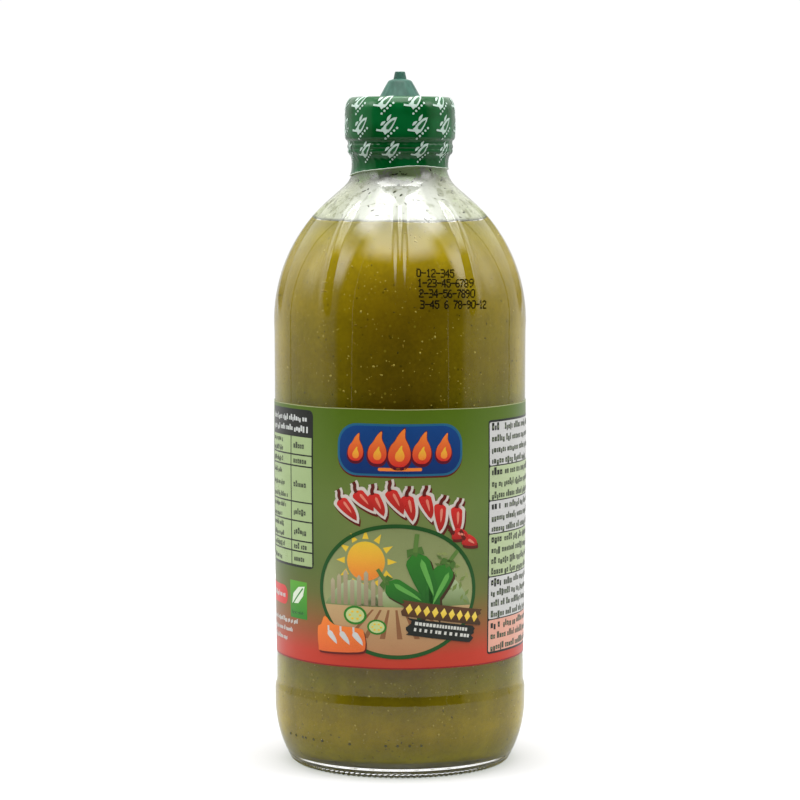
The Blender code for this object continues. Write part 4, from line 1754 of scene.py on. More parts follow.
    def draw_chilli(self, sheet: PrintSheet, u: float, v: float, turn: float, long: float, rim: float) -> None:
        """One red chilli over its shadow.

        Args:
            sheet: The sheet to print on.
            u: Place of its stem end.
            v: Height of its stem end.
            turn: The way it points, in degrees.
            long: Its length.
            rim: Width of the white rim's outline, or 0 for none.
        """
        stalk = flowing([(-2.1, 0.8), (-1.2, 0.7), (-0.3, 0.1), (0.8, 0.0)], 3)
        body = pepper_outline(long, 3.5, 1.3)
        outlines = [body, band(stalk, 0.5)]
        if rim:
            outlines = [[(x - 0.9, y) for x, y in pepper_outline(long + 1.9, rim, 1.4)], band(stalk, 1.2)]
            for outline in outlines:
                sheet.shape(moved(outline, u, v, turn), 1, (0.62, 0.56, 0.50))
        for outline in outlines:
            sheet.shape(moved(outline, u + 0.4, v - 0.8, turn), 0 if rim else 5, self.dark_red)
        layer = 2 if rim else 6
        sheet.shape(moved(body, u, v, turn), layer, (0.36, 0.016, 0.012), self.red)
        shine = [(x + 1.5, y + 0.65) for x, y in pepper_outline(long * 0.5, 0.75, 0.4)]
        sheet.shape(moved(shine, u, v, turn), layer + 1, (0.70, 0.22, 0.15))
        sheet.shape(moved(band(stalk, 0.5), u, v, turn), layer + 1, self.dark_red)

    def draw_picture(self, sheet: PrintSheet) -> None:
        """An oval view with a green ring: sun, hills and a field, with peppers in front."""
        cx, cy, half_w, half_h = -0.8, 52.6, 22.4, 18.0
        ring = [self.arc_piece(cx, cy, half_w, half_h, a, a + 30.0, 0.55) for a in range(0, 360, 30)]
        inner_w, inner_h = half_w - 0.4, half_h - 0.4
        sheet.shape(oval(cx, cy, inner_w, inner_h, 56), 0, (0.34, 0.36, 0.16), (0.22, 0.26, 0.10))
        for piece in ring:
            sheet.shape(piece, 4, self.deep_leaf)
        sheet.shape(oval(-9.5, 60.8, 5.4, 5.4, 28), 1, self.orange, self.yellow)
        for i in range(12):
            angle = 30.0 * i
            ray = [(6.1, -0.9), (8.7, 0.0), (6.1, 0.9)]
            sheet.shape(moved(ray, -9.5, 60.8, angle), 1, self.yellow)
        for start, end, top, ink in ((-22.4, -4.0, 55.5, (0.16, 0.22, 0.07)),
                                     (-12.0, 12.0, 53.5, (0.21, 0.26, 0.09)),
                                     (4.0, 21.0, 57.0, (0.13, 0.19, 0.06))):
            hill = [(start + (end - start) * i / 14,
                     48.0 + (top - 48.0) * math.sin(math.pi * i / 14)) for i in range(15)]
            sheet.shape(self.inside_oval(hill, cx, cy, inner_w, inner_h), 2, ink, self.pale_green)
        field_shape = oval(cx, cy, inner_w, inner_h, 40, 194.0, 346.0)
        sheet.shape(field_shape, 3, self.earth, (0.50, 0.34, 0.16))
        for i in range(7):
            u = -15.0 + 4.8 * i
            furrow = [(u * 0.45 - 1.0, 47.6), (u * 0.45 - 0.4, 47.6), (u + 1.3, 39.6), (u - 0.2, 39.6)]
            sheet.shape(self.inside_oval(furrow, cx, cy, inner_w - 1.0, inner_h - 1.0), 4,
                        (0.26, 0.11, 0.045))
        self.draw_peppers(sheet)
        self.draw_leaves(sheet)

    def inside_oval(self, outline: Sequence[Point], cx: float, cy: float, half_w: float,
                    half_h: float) -> list[Point]:
        """Pulls the points that lie outside an oval back onto it."""
        kept = []
        for u, v in outline:
            away = math.hypot((u - cx) / half_w, (v - cy) / half_h)
            scale = 1.0 / max(away, 1.0)
            kept.append((cx + (u - cx) * scale, cy + (v - cy) * scale))
        return kept

    def arc_piece(self, cx: float, cy: float, half_w: float, half_h: float, start: float,
                  end: float, half: float) -> list[Point]:
        """A piece of an oval ring."""
        outer = oval(cx, cy, half_w + half, half_h + half, 12, start, end)
        return outer + oval(cx, cy, half_w - half, half_h - half, 12, start, end)[::-1]

    def draw_peppers(self, sheet: PrintSheet) -> None:
        """Three green peppers with stems and highlights, and two cut rings."""
        for u, v, turn, size, bend in ((4.0, 64.0, -78.0, 1.0, 2.4), (13.5, 60.5, -112.0, 0.92, -2.2),
                                       (-4.2, 55.5, -38.0, 0.84, 2.0)):
            body = pepper_outline(20.0, 6.6, bend)
            sheet.shape(moved(body, u + 0.5, v - 0.6, turn, size * 1.03), 5, self.dark_earth)
            sheet.shape(moved(body, u, v, turn, size), 6, self.deep_leaf, self.leaf)
            shine = pepper_outline(11.0, 1.5, bend * 0.5)
            sheet.shape(moved([(x + 2.6, y + 1.3) for x, y in shine], u, v, turn, size), 7,
                        (0.12, 0.38, 0.07))
            stem = band([(-4.2, 1.6), (-2.2, 0.9), (0.6, 0.0)], 0.62)
            sheet.shape(moved(stem, u, v, turn, size), 7, (0.10, 0.20, 0.04))
            crown = [(-0.6, -2.1), (1.7, -2.4), (1.0, -0.8), (2.0, 0.0), (1.0, 0.8), (1.7, 2.4), (-0.6, 2.1)]
            sheet.shape(moved(crown, u, v, turn, size), 7, (0.07, 0.16, 0.03))
        for u, v, size in ((-12.6, 45.8, 1.0), (-6.4, 42.8, 0.8)):
            sheet.shape(oval(u, v, 3.4 * size, 2.6 * size, 24), 7, self.leaf)
            sheet.shape(oval(u, v, 2.7 * size, 2.0 * size, 24), 8, (0.52, 0.60, 0.25))
            for i in range(6):
                a = math.radians(60.0 * i)
                sheet.shape(oval(u + 1.5 * size * math.cos(a), v + 1.1 * size * math.sin(a),
                                 0.42 * size, 0.32 * size, 10), 9, self.yellow)

    def draw_leaves(self, sheet: PrintSheet) -> None:
        """Leafy sprigs at the right of the view and fence posts at the left."""
        draw = random.Random(self.seed)
        for i in range(26):
            u, v = 15.0 + draw.uniform(-4.5, 4.5), 52.0 + draw.uniform(-3.0, 11.0)
            blade = [(-1.3, 0.0), (0.0, 0.55), (1.4, 0.0), (0.0, -0.55)]
            ink = draw.choice(((0.10, 0.17, 0.04), (0.17, 0.24, 0.06), (0.26, 0.31, 0.10)))
            placed = moved(blade, u, v, draw.uniform(0, 180), draw.uniform(0.7, 1.1))
            sheet.shape(self.inside_oval(placed, -0.8, 52.6, 21.4, 17.0), 4, ink)
        for i in range(8):
            u = -20.0 + 2.0 * i
            high = 55.0 + 1.2 * (i % 3)
            post = [(u, 48.6), (u + 1.25, 48.6), (u + 1.25, high), (u + 0.6, high + 0.8), (u, high)]
            sheet.shape(self.inside_oval(post, -0.8, 52.6, 21.4, 17.0), 3, (0.28, 0.22, 0.13),
                        (0.44, 0.38, 0.24))

    def draw_banner(self, sheet: PrintSheet) -> None:
        """A dark banner with yellow lozenges, lower right, and an orange patch, lower left."""
        draw = random.Random(self.seed + 1)
        upper = self.ragged(draw, 0.0, 44.3, 23.4, 48.6)
        lower = self.ragged(draw, 2.6, 39.3, 21.6, 43.9)
        lean = -9.0
        sheet.shape(self.leaned(upper, 12.0, 44.0, lean), 10, self.dark_earth, (0.12, 0.05, 0.02))
        sheet.shape(self.leaned(lower, 12.0, 44.0, lean), 10, self.black)
        for i in range(9):
            lozenge = [(-0.95, 0.0), (0.0, -1.45), (0.95, 0.0), (0.0, 1.45)]
            placed = moved(lozenge, 2.0 + 2.45 * i, 46.4)
            sheet.shape(self.leaned(placed, 12.0, 44.0, lean), 11, self.yellow, (0.85, 0.66, 0.12))
        for row in range(2):
            u = 4.2
            while u < 20.0:
                wide = draw.uniform(0.5, 0.9)
                placed = box_outline(u, 42.3 - 1.7 * row, u + wide, 43.2 - 1.7 * row)
                sheet.shape(self.leaned(placed, 12.0, 44.0, lean), 11, (0.62, 0.62, 0.56))
                u += wide + draw.choice((0.25, 0.25, 0.25, 0.9))
        patch = [(-24.4, 36.4), (-23.0, 35.2), (-11.6, 35.6), (-9.6, 37.2), (-10.0, 41.0), (-11.4, 42.2),
                 (-19.0, 42.8), (-22.0, 45.0), (-23.4, 42.6), (-24.6, 41.6)]
        patch = flowing(patch, 3, True)
        sheet.shape([(u + 0.3, v - 0.5) for u, v in patch], 10, self.dark_red)
        sheet.shape(patch, 11, (0.72, 0.13, 0.03), self.orange)
        for i in range(3):
            body = pepper_outline(4.6, 1.7, 0.7, 8)
            sheet.shape(moved(body, -20.9 + 3.9 * i, 41.2, -62.0), 12, self.white)
            stem = band([(-1.1, 0.6), (0.2, 0.0)], 0.28)
            sheet.shape(moved(stem, -20.9 + 3.9 * i, 41.2, -62.0), 12, self.white)

    def ragged(self, draw: random.Random, left: float, low: float, right: float,
               high: float) -> list[Point]:
        """A brushed bar: a rectangle with torn ends."""
        steps = 7
        rise = (high - low) / steps
        ends = [draw.uniform(-0.9, 0.9) for _ in range(2 * (steps + 1))]
        right_side = [(right + ends[i], low + rise * i) for i in range(steps + 1)]
        left_side = [(left + ends[steps + 1 + i], high - rise * i) for i in range(steps + 1)]
        return right_side + left_side

    def leaned(self, outline: Sequence[Point], cx: float, cy: float, lean: float) -> list[Point]:
        """Turns an outline round a point."""
        return moved([(u - cx, v - cy) for u, v in outline], cx, cy, lean)

    def frame_lines(self, sheet: PrintSheet, left: float, right: float, rows: Sequence[float],
                    uprights: Sequence[float], layer: int, half: float = 0.2) -> None:
        """Ruled lines of a table.

        Args:
            sheet: The sheet to print on.
            left: Left end of the rows.
            right: Right end of the rows.
            rows: Heights of the row lines.
            uprights: Places of the upright lines.
            layer: Their layer.
            half: Half of a line's width.
        """
        for v in rows:
            sheet.shape(box_outline(left, v - half, right, v + half), layer, self.black)
        for u in uprights:
            sheet.shape(box_outline(u - half, min(rows), u + half, max(rows)), layer, self.black)

    def draw_table(self, sheet: PrintSheet) -> None:
        """A table of pale cells under a dark head, left of the front, and two marks under it."""
        draw = random.Random(self.seed + 2)
        left, right, divider = -50.5, -26.4, -35.8
        rows = (93.8, 88.6, 85.5, 75.5, 70.2, 64.7, 61.8, 57.8)
        sheet.shape(rounded(left - 0.5, rows[-1] - 0.5, right + 0.35, 101.2, 1.6), 0, self.black)
        for high, low in zip(rows, rows[1:]):
            sheet.shape(box_outline(left, low, right - 0.05, high), 1, self.cell_green)
            lines = max(1, round((high - low) / 2.9))
            pitch = (high - low) / lines
            for i in range(lines):
                base = high - pitch * (i + 0.74)
                self.words(sheet, draw, left + 0.8, divider - 0.9, base, 1.35, self.text, 3,
                           draw.uniform(0.55, 1.0))
            self.words(sheet, draw, divider + 1.3, right - 1.2, (high + low) / 2 - 0.8, 1.7, self.text, 3,
                       draw.uniform(0.7, 1.0))
        self.frame_lines(sheet, left, right, rows, (left, divider, right), 2)
        for base in (98.0, 95.2):
            self.words(sheet, draw, left + 1.0, right - 1.6, base, 1.6, (0.6, 0.62, 0.6), 3)
        sheet.shape(box_outline(-36.9, 43.0, -28.9, 53.4), 1, (0.03, 0.22, 0.02), (0.10, 0.36, 0.03))
        blade = [(-2.9, -2.2), (-2.2, 0.6), (0.4, 2.6), (3.2, 3.0), (2.4, 0.2), (0.2, -2.0)]
        sheet.shape(moved(blade, -33.0, 49.2), 2, (0.70, 0.78, 0.62))
        sheet.shape(band([(-35.9, 46.4), (-33.4, 48.9), (-30.6, 51.6)], 0.22), 3, (0.05, 0.25, 0.03))
        self.words(sheet, draw, -36.0, -29.6, 44.2, 0.9, (0.02, 0.12, 0.02), 2)
        sheet.shape(rounded(-56.0, 46.0, -38.6, 51.4, 2.5), 1, self.red)
        self.words(sheet, draw, -54.0, -40.0, 48.0, 1.5, self.white, 2)
        for i in range(3):
            self.words(sheet, draw, -54.0, -33.0 - 3.0 * i, 41.4 - 2.6 * i, 1.3, self.white, 1)

    def draw_panel(self, sheet: PrintSheet) -> None:
        """A tall panel of small print in bands, right of the front."""
        draw = random.Random(self.seed + 3)
        left, right = 27.1, 78.0
        rows = (98.2, 86.0, 76.4, 67.2, 55.3, 43.4, 34.3)
        inks = (self.white, self.pale_green, self.white, self.pale_green, self.white, self.pink)
        sheet.shape(rounded(left - 0.45, rows[-1] - 0.45, right + 0.45, rows[0] + 0.45, 0.9), 0, self.black)
        for high, low, ink in zip(rows, rows[1:], inks):
            sheet.shape(rounded(left, low + 0.16, right, high - 0.16, 0.5), 1, ink)
            lines = round((high - low) / 3.0)
            pitch = (high - low) / lines
            for i in range(lines):
                base = high - pitch * (i + 0.80)
                if i == 0:
                    self.words(sheet, draw, left + 0.9, left + 5.6, base, 2.1, self.black, 3)
                    self.words(sheet, draw, left + 6.6, right - 1.0, base, 1.8, self.text, 3)
                else:
                    self.words(sheet, draw, left + 0.9, right - 1.0, base, 1.8, self.text, 3,
                               1.0 if i < lines - 1 else draw.uniform(0.4, 0.9))

    def draw_back(self, sheet: PrintSheet) -> None:
        """Bar code, small print and a framed pair of peppers, round the back."""
        draw = random.Random(self.seed + 4)
        sheet.shape(box_outline(82.5, 36.0, 106.5, 52.0), 0, self.white)
        u = 84.4
        while u < 104.2:
            wide = draw.choice((0.26, 0.26, 0.52, 0.78))
            sheet.shape(box_outline(u, 39.6, u + wide, 50.8), 1, self.black)
            u += wide + draw.choice((0.3, 0.3, 0.56, 0.82))
        self.words(sheet, draw, 84.4, 104.6, 37.2, 1.5, self.black, 1)
        for row in range(12):
            self.words(sheet, draw, 82.5, 107.0, 94.0 - 3.0 * row, 1.7, self.white, 1,
                       draw.uniform(0.6, 1.0))
        sheet.shape(oval(-83.0, 79.0, 17.0, 15.0, 48), 0, self.deep_leaf)
        sheet.shape(oval(-83.0, 79.0, 16.2, 14.2, 48), 1, (0.34, 0.36, 0.16), (0.22, 0.26, 0.10))
        for u, v, turn in ((-88.0, 88.0, -62.0), (-76.5, 89.0, -104.0)):
            body = pepper_outline(20.0, 6.4, 2.0)
            sheet.shape(moved(body, u + 0.4, v - 0.5, turn, 1.02), 2, self.dark_earth)
            sheet.shape(moved(body, u, v, turn), 3, self.deep_leaf, self.leaf)
            sheet.shape(moved(band([(-4.0, 1.5), (-2.0, 0.8), (0.8, 0.0)], 0.6), u, v, turn), 4,
                        (0.10, 0.20, 0.04))
        for row in range(7):
            self.words(sheet, draw, -99.0, -67.0, 58.0 - 3.0 * row, 1.7, self.white, 1,
                       draw.uniform(0.6, 1.0))


# Cap and film


@dataclass
class SpoutCap:
    """The moulded cap, of which the spout shows above the film.

    Attributes are sizes of the real cap in metres.
    """

    glass: GlassBottle
    top_z: float = 0.18675
    cap_r: float = 0.01495
    edge_r: float = 0.0026
    skirt_z: float = 0.1758
    band_r: float = 0.01415
    band_z: float = 0.1749
    low_z: float = 0.1720
    gap: float = 0.0003
    base_r: float = 0.0059
    shoulder_r: float = 0.0036
    shoulder_z: float = 0.1909
    tip_low_r: float = 0.0019
    tip_low_z: float = 0.1921
    tip_r: float = 0.00145
    tip_edge: float = 0.00028
    tip_z: float = 0.1944
    bore_r: float = 0.00055
    bore_deep: float = 0.0007
    columns: int = 180

    def profile(self) -> Profile:
        """Spout with its pierced tip, cap top, skirt and ring, then up the inside."""
        points = [(0.0, self.tip_z - self.bore_deep), (self.bore_r * 0.9, self.tip_z - self.bore_deep),
                  (self.bore_r, self.tip_z - 0.00012), (self.bore_r + 0.00012, self.tip_z)]
        points += arc((self.tip_r - self.tip_edge, self.tip_z - self.tip_edge), self.tip_edge, 90.0, 8.0, 5)
        points += line(points[-1], (self.tip_low_r - 0.00006, self.tip_low_z + 0.00022), 4)
        dome = self.tip_low_z - self.shoulder_z
        points += arc((self.shoulder_r - dome, self.shoulder_z), dome, 82.0, 30.0, 8)
        points += line(points[-1], (self.base_r - 0.00022, self.top_z + 0.0006), 7)
        points += [(self.base_r - 0.00004, self.top_z + 0.00022), (self.base_r + 0.00035, self.top_z)]
        points += arc((self.cap_r - self.edge_r, self.top_z - self.edge_r), self.edge_r, 90.0, 0.0, 8)
        points += [(self.cap_r, self.skirt_z), (self.band_r, self.band_z), (self.band_r, self.low_z)]
        inner_r = self.glass.neck_r + self.gap
        top = self.glass.mouth_z + self.gap
        points += [(inner_r, self.low_z), (inner_r, top), (0.0, top)]
        return points

    def build(self) -> None:
        """Builds the cap with faint upright moulding on the spout's cone."""
        def shape(row: int, angles: np.ndarray, r: float, z: float) -> tuple[np.ndarray, np.ndarray]:
            """Adds the shallow flutes that show on the cone."""
            share = float(smooth((z - self.top_z) / 0.0008) * smooth((self.shoulder_z + 0.0004 - z) / 0.001))
            flute = 0.00005 * share * np.cos(16 * angles)
            return r + flute, np.full(len(angles), z)

        mesh = turned_mesh("spout_cap", self.profile(), even_columns(self.columns), shape)
        settle(add_piece("spout_cap", mesh, [CAP], 55.0), "cap_plastic", "cap")


@dataclass
class ShrinkBand:
    """The printed film shrunk over cap and neck.

    Attributes:
        glass: The bottle whose neck it grips.
        film_t: Thickness of the film.
        skin_gap: Its distance from the glass at its lower edge.
        edge_z: Mean height of its lower edge.
        edge_waves: Order, cosine and sine height of the waves of that edge, from the front.
        columns: Columns of its mesh.
        seed: Start of every random draw; not used.
    """

    glass: GlassBottle
    film_t: float = 0.0002
    skin_gap: float = 0.0002
    edge_z: float = 0.1667
    edge_waves: tuple[tuple[int, float, float], ...] = ((1, 0.00075, 0.00085), (2, 0.00035, 0.0),
                                                        (5, 0.0, 0.00012))
    columns: int = 300
    seed: int = 21

    def profile(self) -> Profile:
        """The film's outside from its hole on the cap's top down to the neck."""
        rough = [(0.01260, 0.18728), (0.01400, 0.18700), (0.01490, 0.18570), (0.01536, 0.18420),
                 (0.01547, 0.18260), (0.01549, 0.17950), (0.01547, 0.17650), (0.01530, 0.17560),
                 (0.01478, 0.17500), (0.01460, 0.17430), (0.01474, 0.17380), (0.01476, 0.17320),
                 (0.01462, 0.17275), (0.01470, 0.17225), (0.01452, 0.17170), (0.01392, 0.17090),
                 (0.01362, 0.16990), (0.01356, 0.16900)]
        return flowing(rough, 5)

    def lower_edge(self, angles: np.ndarray) -> np.ndarray:
        """Height of the uneven lower edge."""
        from_front = angles - FRONT
        height = np.full(len(angles), self.edge_z)
        for order, cosine, sine in self.edge_waves:
            height += cosine * np.cos(order * from_front) + sine * np.sin(order * from_front)
        return height

    def neck_radius(self, heights: np.ndarray) -> np.ndarray:
        """Outer radius of the glass on the neck and its fillet."""
        centre_r, centre_z = self.glass.fillet_centre()
        drop = np.maximum(centre_z - heights, 0.0)
        return centre_r - np.sqrt(self.glass.neck_fillet_r ** 2 - drop ** 2)

    def pulls(self, angles: np.ndarray, z: float) -> np.ndarray:
        """Small folds in the film, deepest round the ring and the neck."""
        depth = 0.00003 * float(smooth((0.1765 - z) / 0.002)) + 0.00001
        folds = np.sin(23 * angles + 2.0 * np.sin(3 * angles)) + 0.6 * np.sin(41 * angles + z * 3000)
        return depth * folds

    def build(self) -> None:
        """Builds the film, its pale lip and its print."""
        film = self.profile()
        skirt = 5
        rows = len(film) + skirt
        top_z = film[-1][1]
        lining = [(r - self.film_t, z) for r, z in film[::-1]]
        outer = film + [film[-1]] * skirt
        inner = [lining[0]] * skirt + lining

        def shape(row: int, angles: np.ndarray, r: float, z: float) -> tuple[np.ndarray, np.ndarray]:
            """Follows the neck down to the edge and adds the folds."""
            outside = row < rows
            step = (row if outside else 2 * rows - 1 - row) - len(film) + 1
            if step <= 0:
                return r + self.pulls(angles, z), np.full(len(angles), z)
            heights = top_z + (self.lower_edge(angles) - top_z) * step / skirt
            thickness = self.film_t if outside else 0.0
            rolled = 0.00006 if step == skirt and outside else 0.0
            radii = self.neck_radius(heights) + self.skin_gap + thickness + rolled
            return radii + self.pulls(angles, top_z) * (1 - step / skirt), heights

        mesh = turned_mesh("shrink_band", outer + inner, even_columns(self.columns), shape, ring=True)
        settle(add_piece("shrink_band", mesh, [FILM], 60.0), "shrink_film", "sleeve")
        self.build_lip()
        self.build_print()

    def build_lip(self) -> None:
        """The film's cut edge, stretched pale."""
        angles = FRONT + 2 * math.pi * np.arange(self.columns) / self.columns
        heights = self.lower_edge(angles)
        radii = self.neck_radius(heights) + self.skin_gap + self.film_t
        places = []
        for k in range(6):
            turn = 2 * math.pi * k / 6
            thick = 0.00013 * (1 + 0.25 * np.sin(31 * angles + k))
            r = radii + thick * math.cos(turn)
            z = heights - 0.00003 + thick * math.sin(turn)
            places.append(np.stack([r * np.cos(angles), r * np.sin(angles), z], axis=1))
        count = self.columns
        faces = []
        for k in range(6):
            upper, lower = ((k + 1) % 6) * count, k * count
            faces += [(upper + i, lower + i, lower + (i + 1) % count, upper + (i + 1) % count)
                      for i in range(count)]
        mesh = bpy.data.meshes.new("film_lip")
        mesh.from_pydata(np.concatenate(places), [], faces)
        self.paint(mesh, (0.62, 0.70, 0.58))
        settle(add_piece("film_lip", mesh, [FILM_INK], 180.0), "shrink_film")

    def paint(self, mesh: bpy.types.Mesh, ink: Colour) -> None:
        """Gives a whole mesh one ink."""
        layer = mesh.color_attributes.new("ink", "FLOAT_COLOR", "POINT")
        layer.data.foreach_set("color", np.tile(rgba(ink), len(mesh.vertices)).astype(np.float32))

    def build_print(self) -> None:
        """White sprigs in slanted rows all over the film."""
        low = np.array([0.1686, 0.1682])
        under = list(zip(self.neck_radius(low) + self.skin_gap + self.film_t, low))
        wrap = ProfileWrap(self.profile() + under, 0.0155)
        sheet = PrintSheet("film_print", wrap, FILM_INK, "shrink_film", 0.00009, 0.00002, 0.000008)
        ink = (0.50, 0.64, 0.56)
        columns = 11
        pitch = 2 * math.pi * 15.5 / columns
        total = wrap.height()
        for row, (v, shift) in enumerate(((total - 3.0, 0.0), (total - 9.9, 0.12), (total - 17.1, 0.22))):
            for column in range(columns):
                u = (column + shift) * pitch - math.pi * 15.5
                for number, outline in enumerate(self.sprig()):
                    placed = moved(outline, u, v, 36.0, 1.0 if row < 2 else 0.92)
                    low, high = min(p[1] for p in placed), max(p[1] for p in placed)
                    if low > 0.35 and high < total - 0.2:
                        sheet.shape(placed, 0 if number else 1, ink if number else (0.003, 0.10, 0.02))
        sheet.build()

    def sprig(self) -> list[list[Point]]:
        """One motif: the hollow of a pepper, the pepper with its stem, leaves above and dots below."""
        body = moved(pepper_outline(5.2, 2.3, 0.9, 12), -1.7, -0.4)
        hollow = moved(pepper_outline(3.5, 1.1, 0.6, 9), -0.9, -0.35)
        stem = flowing([(-3.3, 1.2), (-2.7, 0.6), (-1.6, -0.4)], 3)
        leaves = [flowing([(-1.6, 1.35), (-0.7, 1.15), (0.3, 1.5), (-0.7, 1.95)], 3, True),
                  flowing([(0.6, 1.3), (1.6, 1.3), (2.7, 2.1), (1.4, 2.1)], 3, True)]
        crown = [(-2.0, -1.4), (-1.0, -1.35), (-1.2, -0.4), (-1.0, 0.6), (-2.0, 0.55)]
        dots = [oval(-2.6 + 1.1 * i, -2.35 + 0.12 * i, 0.34, 0.34, 8) for i in range(5)]
        return [hollow, body, band(stem, 0.28), crown] + leaves + dots


# Date code


@dataclass
class DateCode:
    """Rows of plain digits that a jet printed in dots on the shoulder.

    Attributes:
        glass: The bottle that carries it.
        rows: The digits of each row.
        left: Start of each row in millimetres right of the front.
        heights: Base line of each row.
        pitch: Width of one digit with its gap.
        dot: Diameter of a dot.
        step: Distance between dots across and up, in millimetres.
    """

    glass: GlassBottle
    rows: tuple[str, ...] = ("0-12-345", "1-23-45-6789", "2-34-56-7890", "3-45 6 78-90-12")
    left: tuple[float, ...] = (4.6, 4.9, 5.3, 5.6)
    heights: tuple[float, ...] = (0.1382, 0.1355, 0.1327, 0.1297)
    pitch: float = 1.36
    dot: float = 0.00046
    step: Point = (0.240, 0.325)

    def dots_of(self, sign: str) -> list[tuple[int, int]]:
        """Dots of one sign on a grid of five by seven, as (column, row from the base).

        Args:
            sign: A digit, a dash or a blank.

        Returns:
            The dots.
        """
        bars = {
            "0": ("01110", "10001", "10001", "10001", "10001", "10001", "01110"),
            "1": ("00100", "01100", "00100", "00100", "00100", "00100", "01110"),
            "2": ("01110", "10001", "00001", "00110", "01000", "10000", "11111"),
            "3": ("11110", "00001", "00001", "01110", "00001", "00001", "11110"),
            "4": ("00010", "00110", "01010", "10010", "11111", "00010", "00010"),
            "5": ("11111", "10000", "11110", "00001", "00001", "10001", "01110"),
            "6": ("00110", "01000", "10000", "11110", "10001", "10001", "01110"),
            "7": ("11111", "00001", "00010", "00100", "00100", "01000", "01000"),
            "8": ("01110", "10001", "10001", "01110", "10001", "10001", "01110"),
            "9": ("01110", "10001", "10001", "01111", "00001", "00010", "01100"),
            "-": ("00000", "00000", "00000", "11111", "00000", "00000", "00000"),
        }.get(sign, ())
        return [(x, len(bars) - 1 - y) for y, bar in enumerate(bars) for x, on in enumerate(bar) if on == "1"]

    def build(self) -> None:
        """Places the dots on the shoulder and makes them by Geometry Nodes."""
        centre_r, centre_z = self.glass.shoulder_centre()
        draw = random.Random(3)
        places, normals = [], []
        for text, left, base in zip(self.rows, self.left, self.heights):
            for number, sign in enumerate(text):
                for x, y in self.dots_of(sign):
                    u = left + number * self.pitch + (x + draw.uniform(-0.16, 0.16)) * self.step[0]
                    z = base + (y + draw.uniform(-0.14, 0.14)) * self.step[1] * MM
                    z -= 0.00035 * number / len(text)
                    lean = math.asin((z - centre_z) / self.glass.shoulder_arc_r)
                    radius = centre_r + self.glass.shoulder_arc_r * math.cos(lean)
                    angle = FRONT + u * MM / radius
                    off = self.rib_height(angle, radius, z) + 0.00002
                    way = np.array([math.cos(angle) * math.cos(lean), math.sin(angle) * math.cos(lean),
                                    math.sin(lean)])
                    places.append(np.array([radius * math.cos(angle), radius * math.sin(angle), z]) + way * off)
                    normals.append(way)
        base_mesh = facing_points("code_points", np.array(places), np.array(normals))
        values = {"Dot": small_shape("code_dot", BitShape.DISC), "Size": self.dot,
                  "Material": CODE_INK.material()}
        mesh = dots_tree().bake(base_mesh, "date_code", values)
        layer = mesh.color_attributes.new("ink", "FLOAT_COLOR", "POINT")
        layer.data.foreach_set("color", np.tile(rgba((0.008, 0.007, 0.004)),
                                                len(mesh.vertices)).astype(np.float32))
        settle(add_piece("date_code", mesh, [CODE_INK]), "printed_label")

    def rib_height(self, angle: float, radius: float, z: float) -> float:
        """How far a rib stands out at a place."""
        radii, _ = self.glass.relief(0, np.array([angle]), radius, z)
        return float(radii[0]) - radius


# Stage


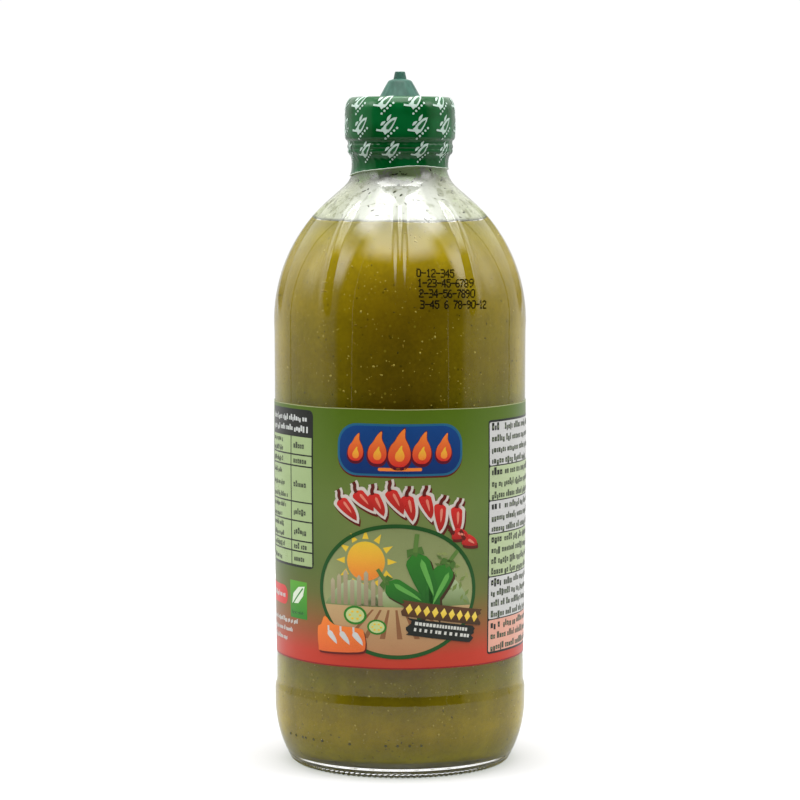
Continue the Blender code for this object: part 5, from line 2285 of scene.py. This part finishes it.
@dataclass
class Studio:
    """Floor, light and camera. Azimuths run from the front, in degrees.

    Attributes:
        eye: Where the camera stands.
        tilt: How far it looks down, in degrees.
        lens: Its focal length in millimetres.
        floor_r: Radius of the lit floor.
        dark_half: Half width of the dark front.
        slit: Azimuth of a narrow gap in it that lets light through.
        seam: Azimuth of a dark joint between the white walls.
        box_low: Elevation of the lower edge of the light over the camera.
    """

    eye: tuple[float, float, float] = (0.0, -0.813, 0.1665)
    tilt: float = 4.53
    lens: float = 129.8
    floor_r: float = 0.45
    dark_half: float = 62.0
    slit: float = 44.0
    seam: float = 119.0
    box_low: float = 41.0

    def build(self) -> None:
        """Builds the stage."""
        self.build_floor()
        self.build_world()
        self.build_camera()
        bpy.context.scene.view_settings.view_transform = "Standard"
        log.info("stage: floor %.2f m, camera at %s", self.floor_r, self.eye)

    def build_floor(self) -> None:
        """A white disc just under the foot."""
        drop = -0.00005
        rings = [(0.0, drop)] + [(self.floor_r * s, drop) for s in (0.1, 0.25, 0.5, 0.75, 1.0)]
        rings += [(self.floor_r, drop - 0.002), (0.0, drop - 0.002)]
        mesh = turned_mesh("studio_floor", rings, even_columns(96))
        add_piece("studio_floor", mesh, [FLOOR_WHITE])

    def build_world(self) -> None:
        """Light from all round: white sides, ceiling and back, a dark front and a box over it."""
        world = bpy.data.worlds.new("studio_light")
        bpy.context.scene.world = world
        world.use_nodes = True
        graph = Graph(world.node_tree)
        graph.tree.nodes.clear()
        split = graph.node("ShaderNodeSeparateXYZ")
        graph.feed(split.inputs["Vector"], graph.node("ShaderNodeTexCoord").outputs["Generated"])
        x, y, z = (split.outputs[axis] for axis in "XYZ")
        turn = graph.math("ABSOLUTE", graph.math("ARCTAN2", x, graph.math("MULTIPLY", y, -1.0)))
        azimuth = graph.math("DEGREES", turn)
        rise = graph.math("DEGREES", graph.math("ARCSINE", z))
        light = self.lamp_pattern(graph, azimuth, rise)
        seen = graph.node("ShaderNodeLightPath").outputs["Is Camera Ray"]
        strength = graph.math("ADD", graph.math("MULTIPLY", seen, 1.02),
                              graph.math("MULTIPLY", graph.math("SUBTRACT", 1.0, seen), light))
        back = graph.node("ShaderNodeBackground")
        back.inputs["Color"].default_value = rgba((1.0, 1.0, 1.0))
        graph.feed(back.inputs["Strength"], strength)
        out = graph.node("ShaderNodeOutputWorld")
        graph.feed(out.inputs["Surface"], back.outputs["Background"])

    def lamp_pattern(self, graph: Graph, azimuth: bpy.types.NodeSocket,
                     rise: bpy.types.NodeSocket) -> bpy.types.NodeSocket:
        """How bright the light is in each direction.

        Args:
            graph: The world's graph.
            azimuth: Angle from the front, without its sign.
            rise: Angle over the horizon.

        Returns:
            The brightness.
        """
        half = self.dark_half
        low = graph.math("ADD", graph.ease(azimuth, half - 5.0, half + 2.0, 0.0, 0.42),
                         graph.ease(azimuth, half + 6.0, half + 16.0, 0.0, 0.16))
        low = graph.math("ADD", low, graph.ease(azimuth, 95.0, 140.0, 0.0, 0.22))
        low = graph.math("MULTIPLY", low, graph.ease(azimuth, 148.0, 166.0, 1.0, 0.86))
        edge = graph.math("MULTIPLY", graph.ease(azimuth, self.slit - 0.8, self.slit),
                          graph.ease(azimuth, self.slit, self.slit + 0.8, 0.5, 0.0))
        low = graph.math("ADD", low, edge)
        box = graph.math("MULTIPLY", graph.ease(azimuth, half - 6.0, half + 2.0, 0.0, 4.2),
                         graph.ease(azimuth, 78.0, 92.0, 1.0, 0.0))
        box = graph.math("MULTIPLY", box, graph.ease(rise, 17.0, 33.0))
        box = graph.math("MULTIPLY", box, graph.ease(rise, 38.0, 50.0, 1.0, 0.25))
        side = graph.math("MULTIPLY", graph.ease(azimuth, 82.0, 94.0), graph.ease(azimuth, 100.0, 112.0, 1.0, 0.45))
        side = graph.math("MULTIPLY", side, graph.ease(rise, 6.0, 24.0, 0.0, 1.7))
        near = graph.math("MULTIPLY", graph.ease(azimuth, 35.0, half, 1.0, 0.0),
                          graph.ease(rise, self.box_low, self.box_low + 14.0, 0.0, 5.6))
        late = graph.math("SUBTRACT", rise, graph.ease(azimuth, 84.0, 98.0, 0.0, 12.0))
        wide = graph.math("MULTIPLY", graph.ease(azimuth, 35.0, half),
                          graph.ease(late, self.box_low + 11.0, self.box_low + 24.0, 0.0, 9.0))
        total = graph.math("ADD", graph.math("ADD", low, box), graph.math("ADD", near, wide))
        seam = graph.math("MULTIPLY", graph.ease(azimuth, self.seam - 1.1, self.seam - 0.2),
                          graph.ease(azimuth, self.seam + 0.2, self.seam + 1.1, 0.85, 0.0))
        return graph.math("MULTIPLY", graph.math("ADD", total, side), graph.math("SUBTRACT", 1.0, seam))

    def build_camera(self) -> None:
        """The camera at the photograph's viewing angle."""
        data = bpy.data.cameras.new("studio_camera")
        data.lens = self.lens
        data.sensor_width = 36.0
        data.clip_start = 0.01
        camera = bpy.data.objects.new("studio_camera", data)
        camera.location = self.eye
        camera.rotation_euler = (math.radians(90.0 - self.tilt), 0.0, 0.0)
        bpy.context.scene.collection.objects.link(camera)
        bpy.context.scene.camera = camera


def main() -> None:
    """Builds the bottle and its stage in order."""
    logging.basicConfig(level=logging.INFO, format="%(name)s: %(message)s")
    Studio().build()
    glass = GlassBottle()
    glass.build()
    SauceFill(glass).build()
    WrapLabel(glass).build()
    SpoutCap(glass).build()
    ShrinkBand(glass).build()
    DateCode(glass).build()


if __name__ == "__main__":
    main()
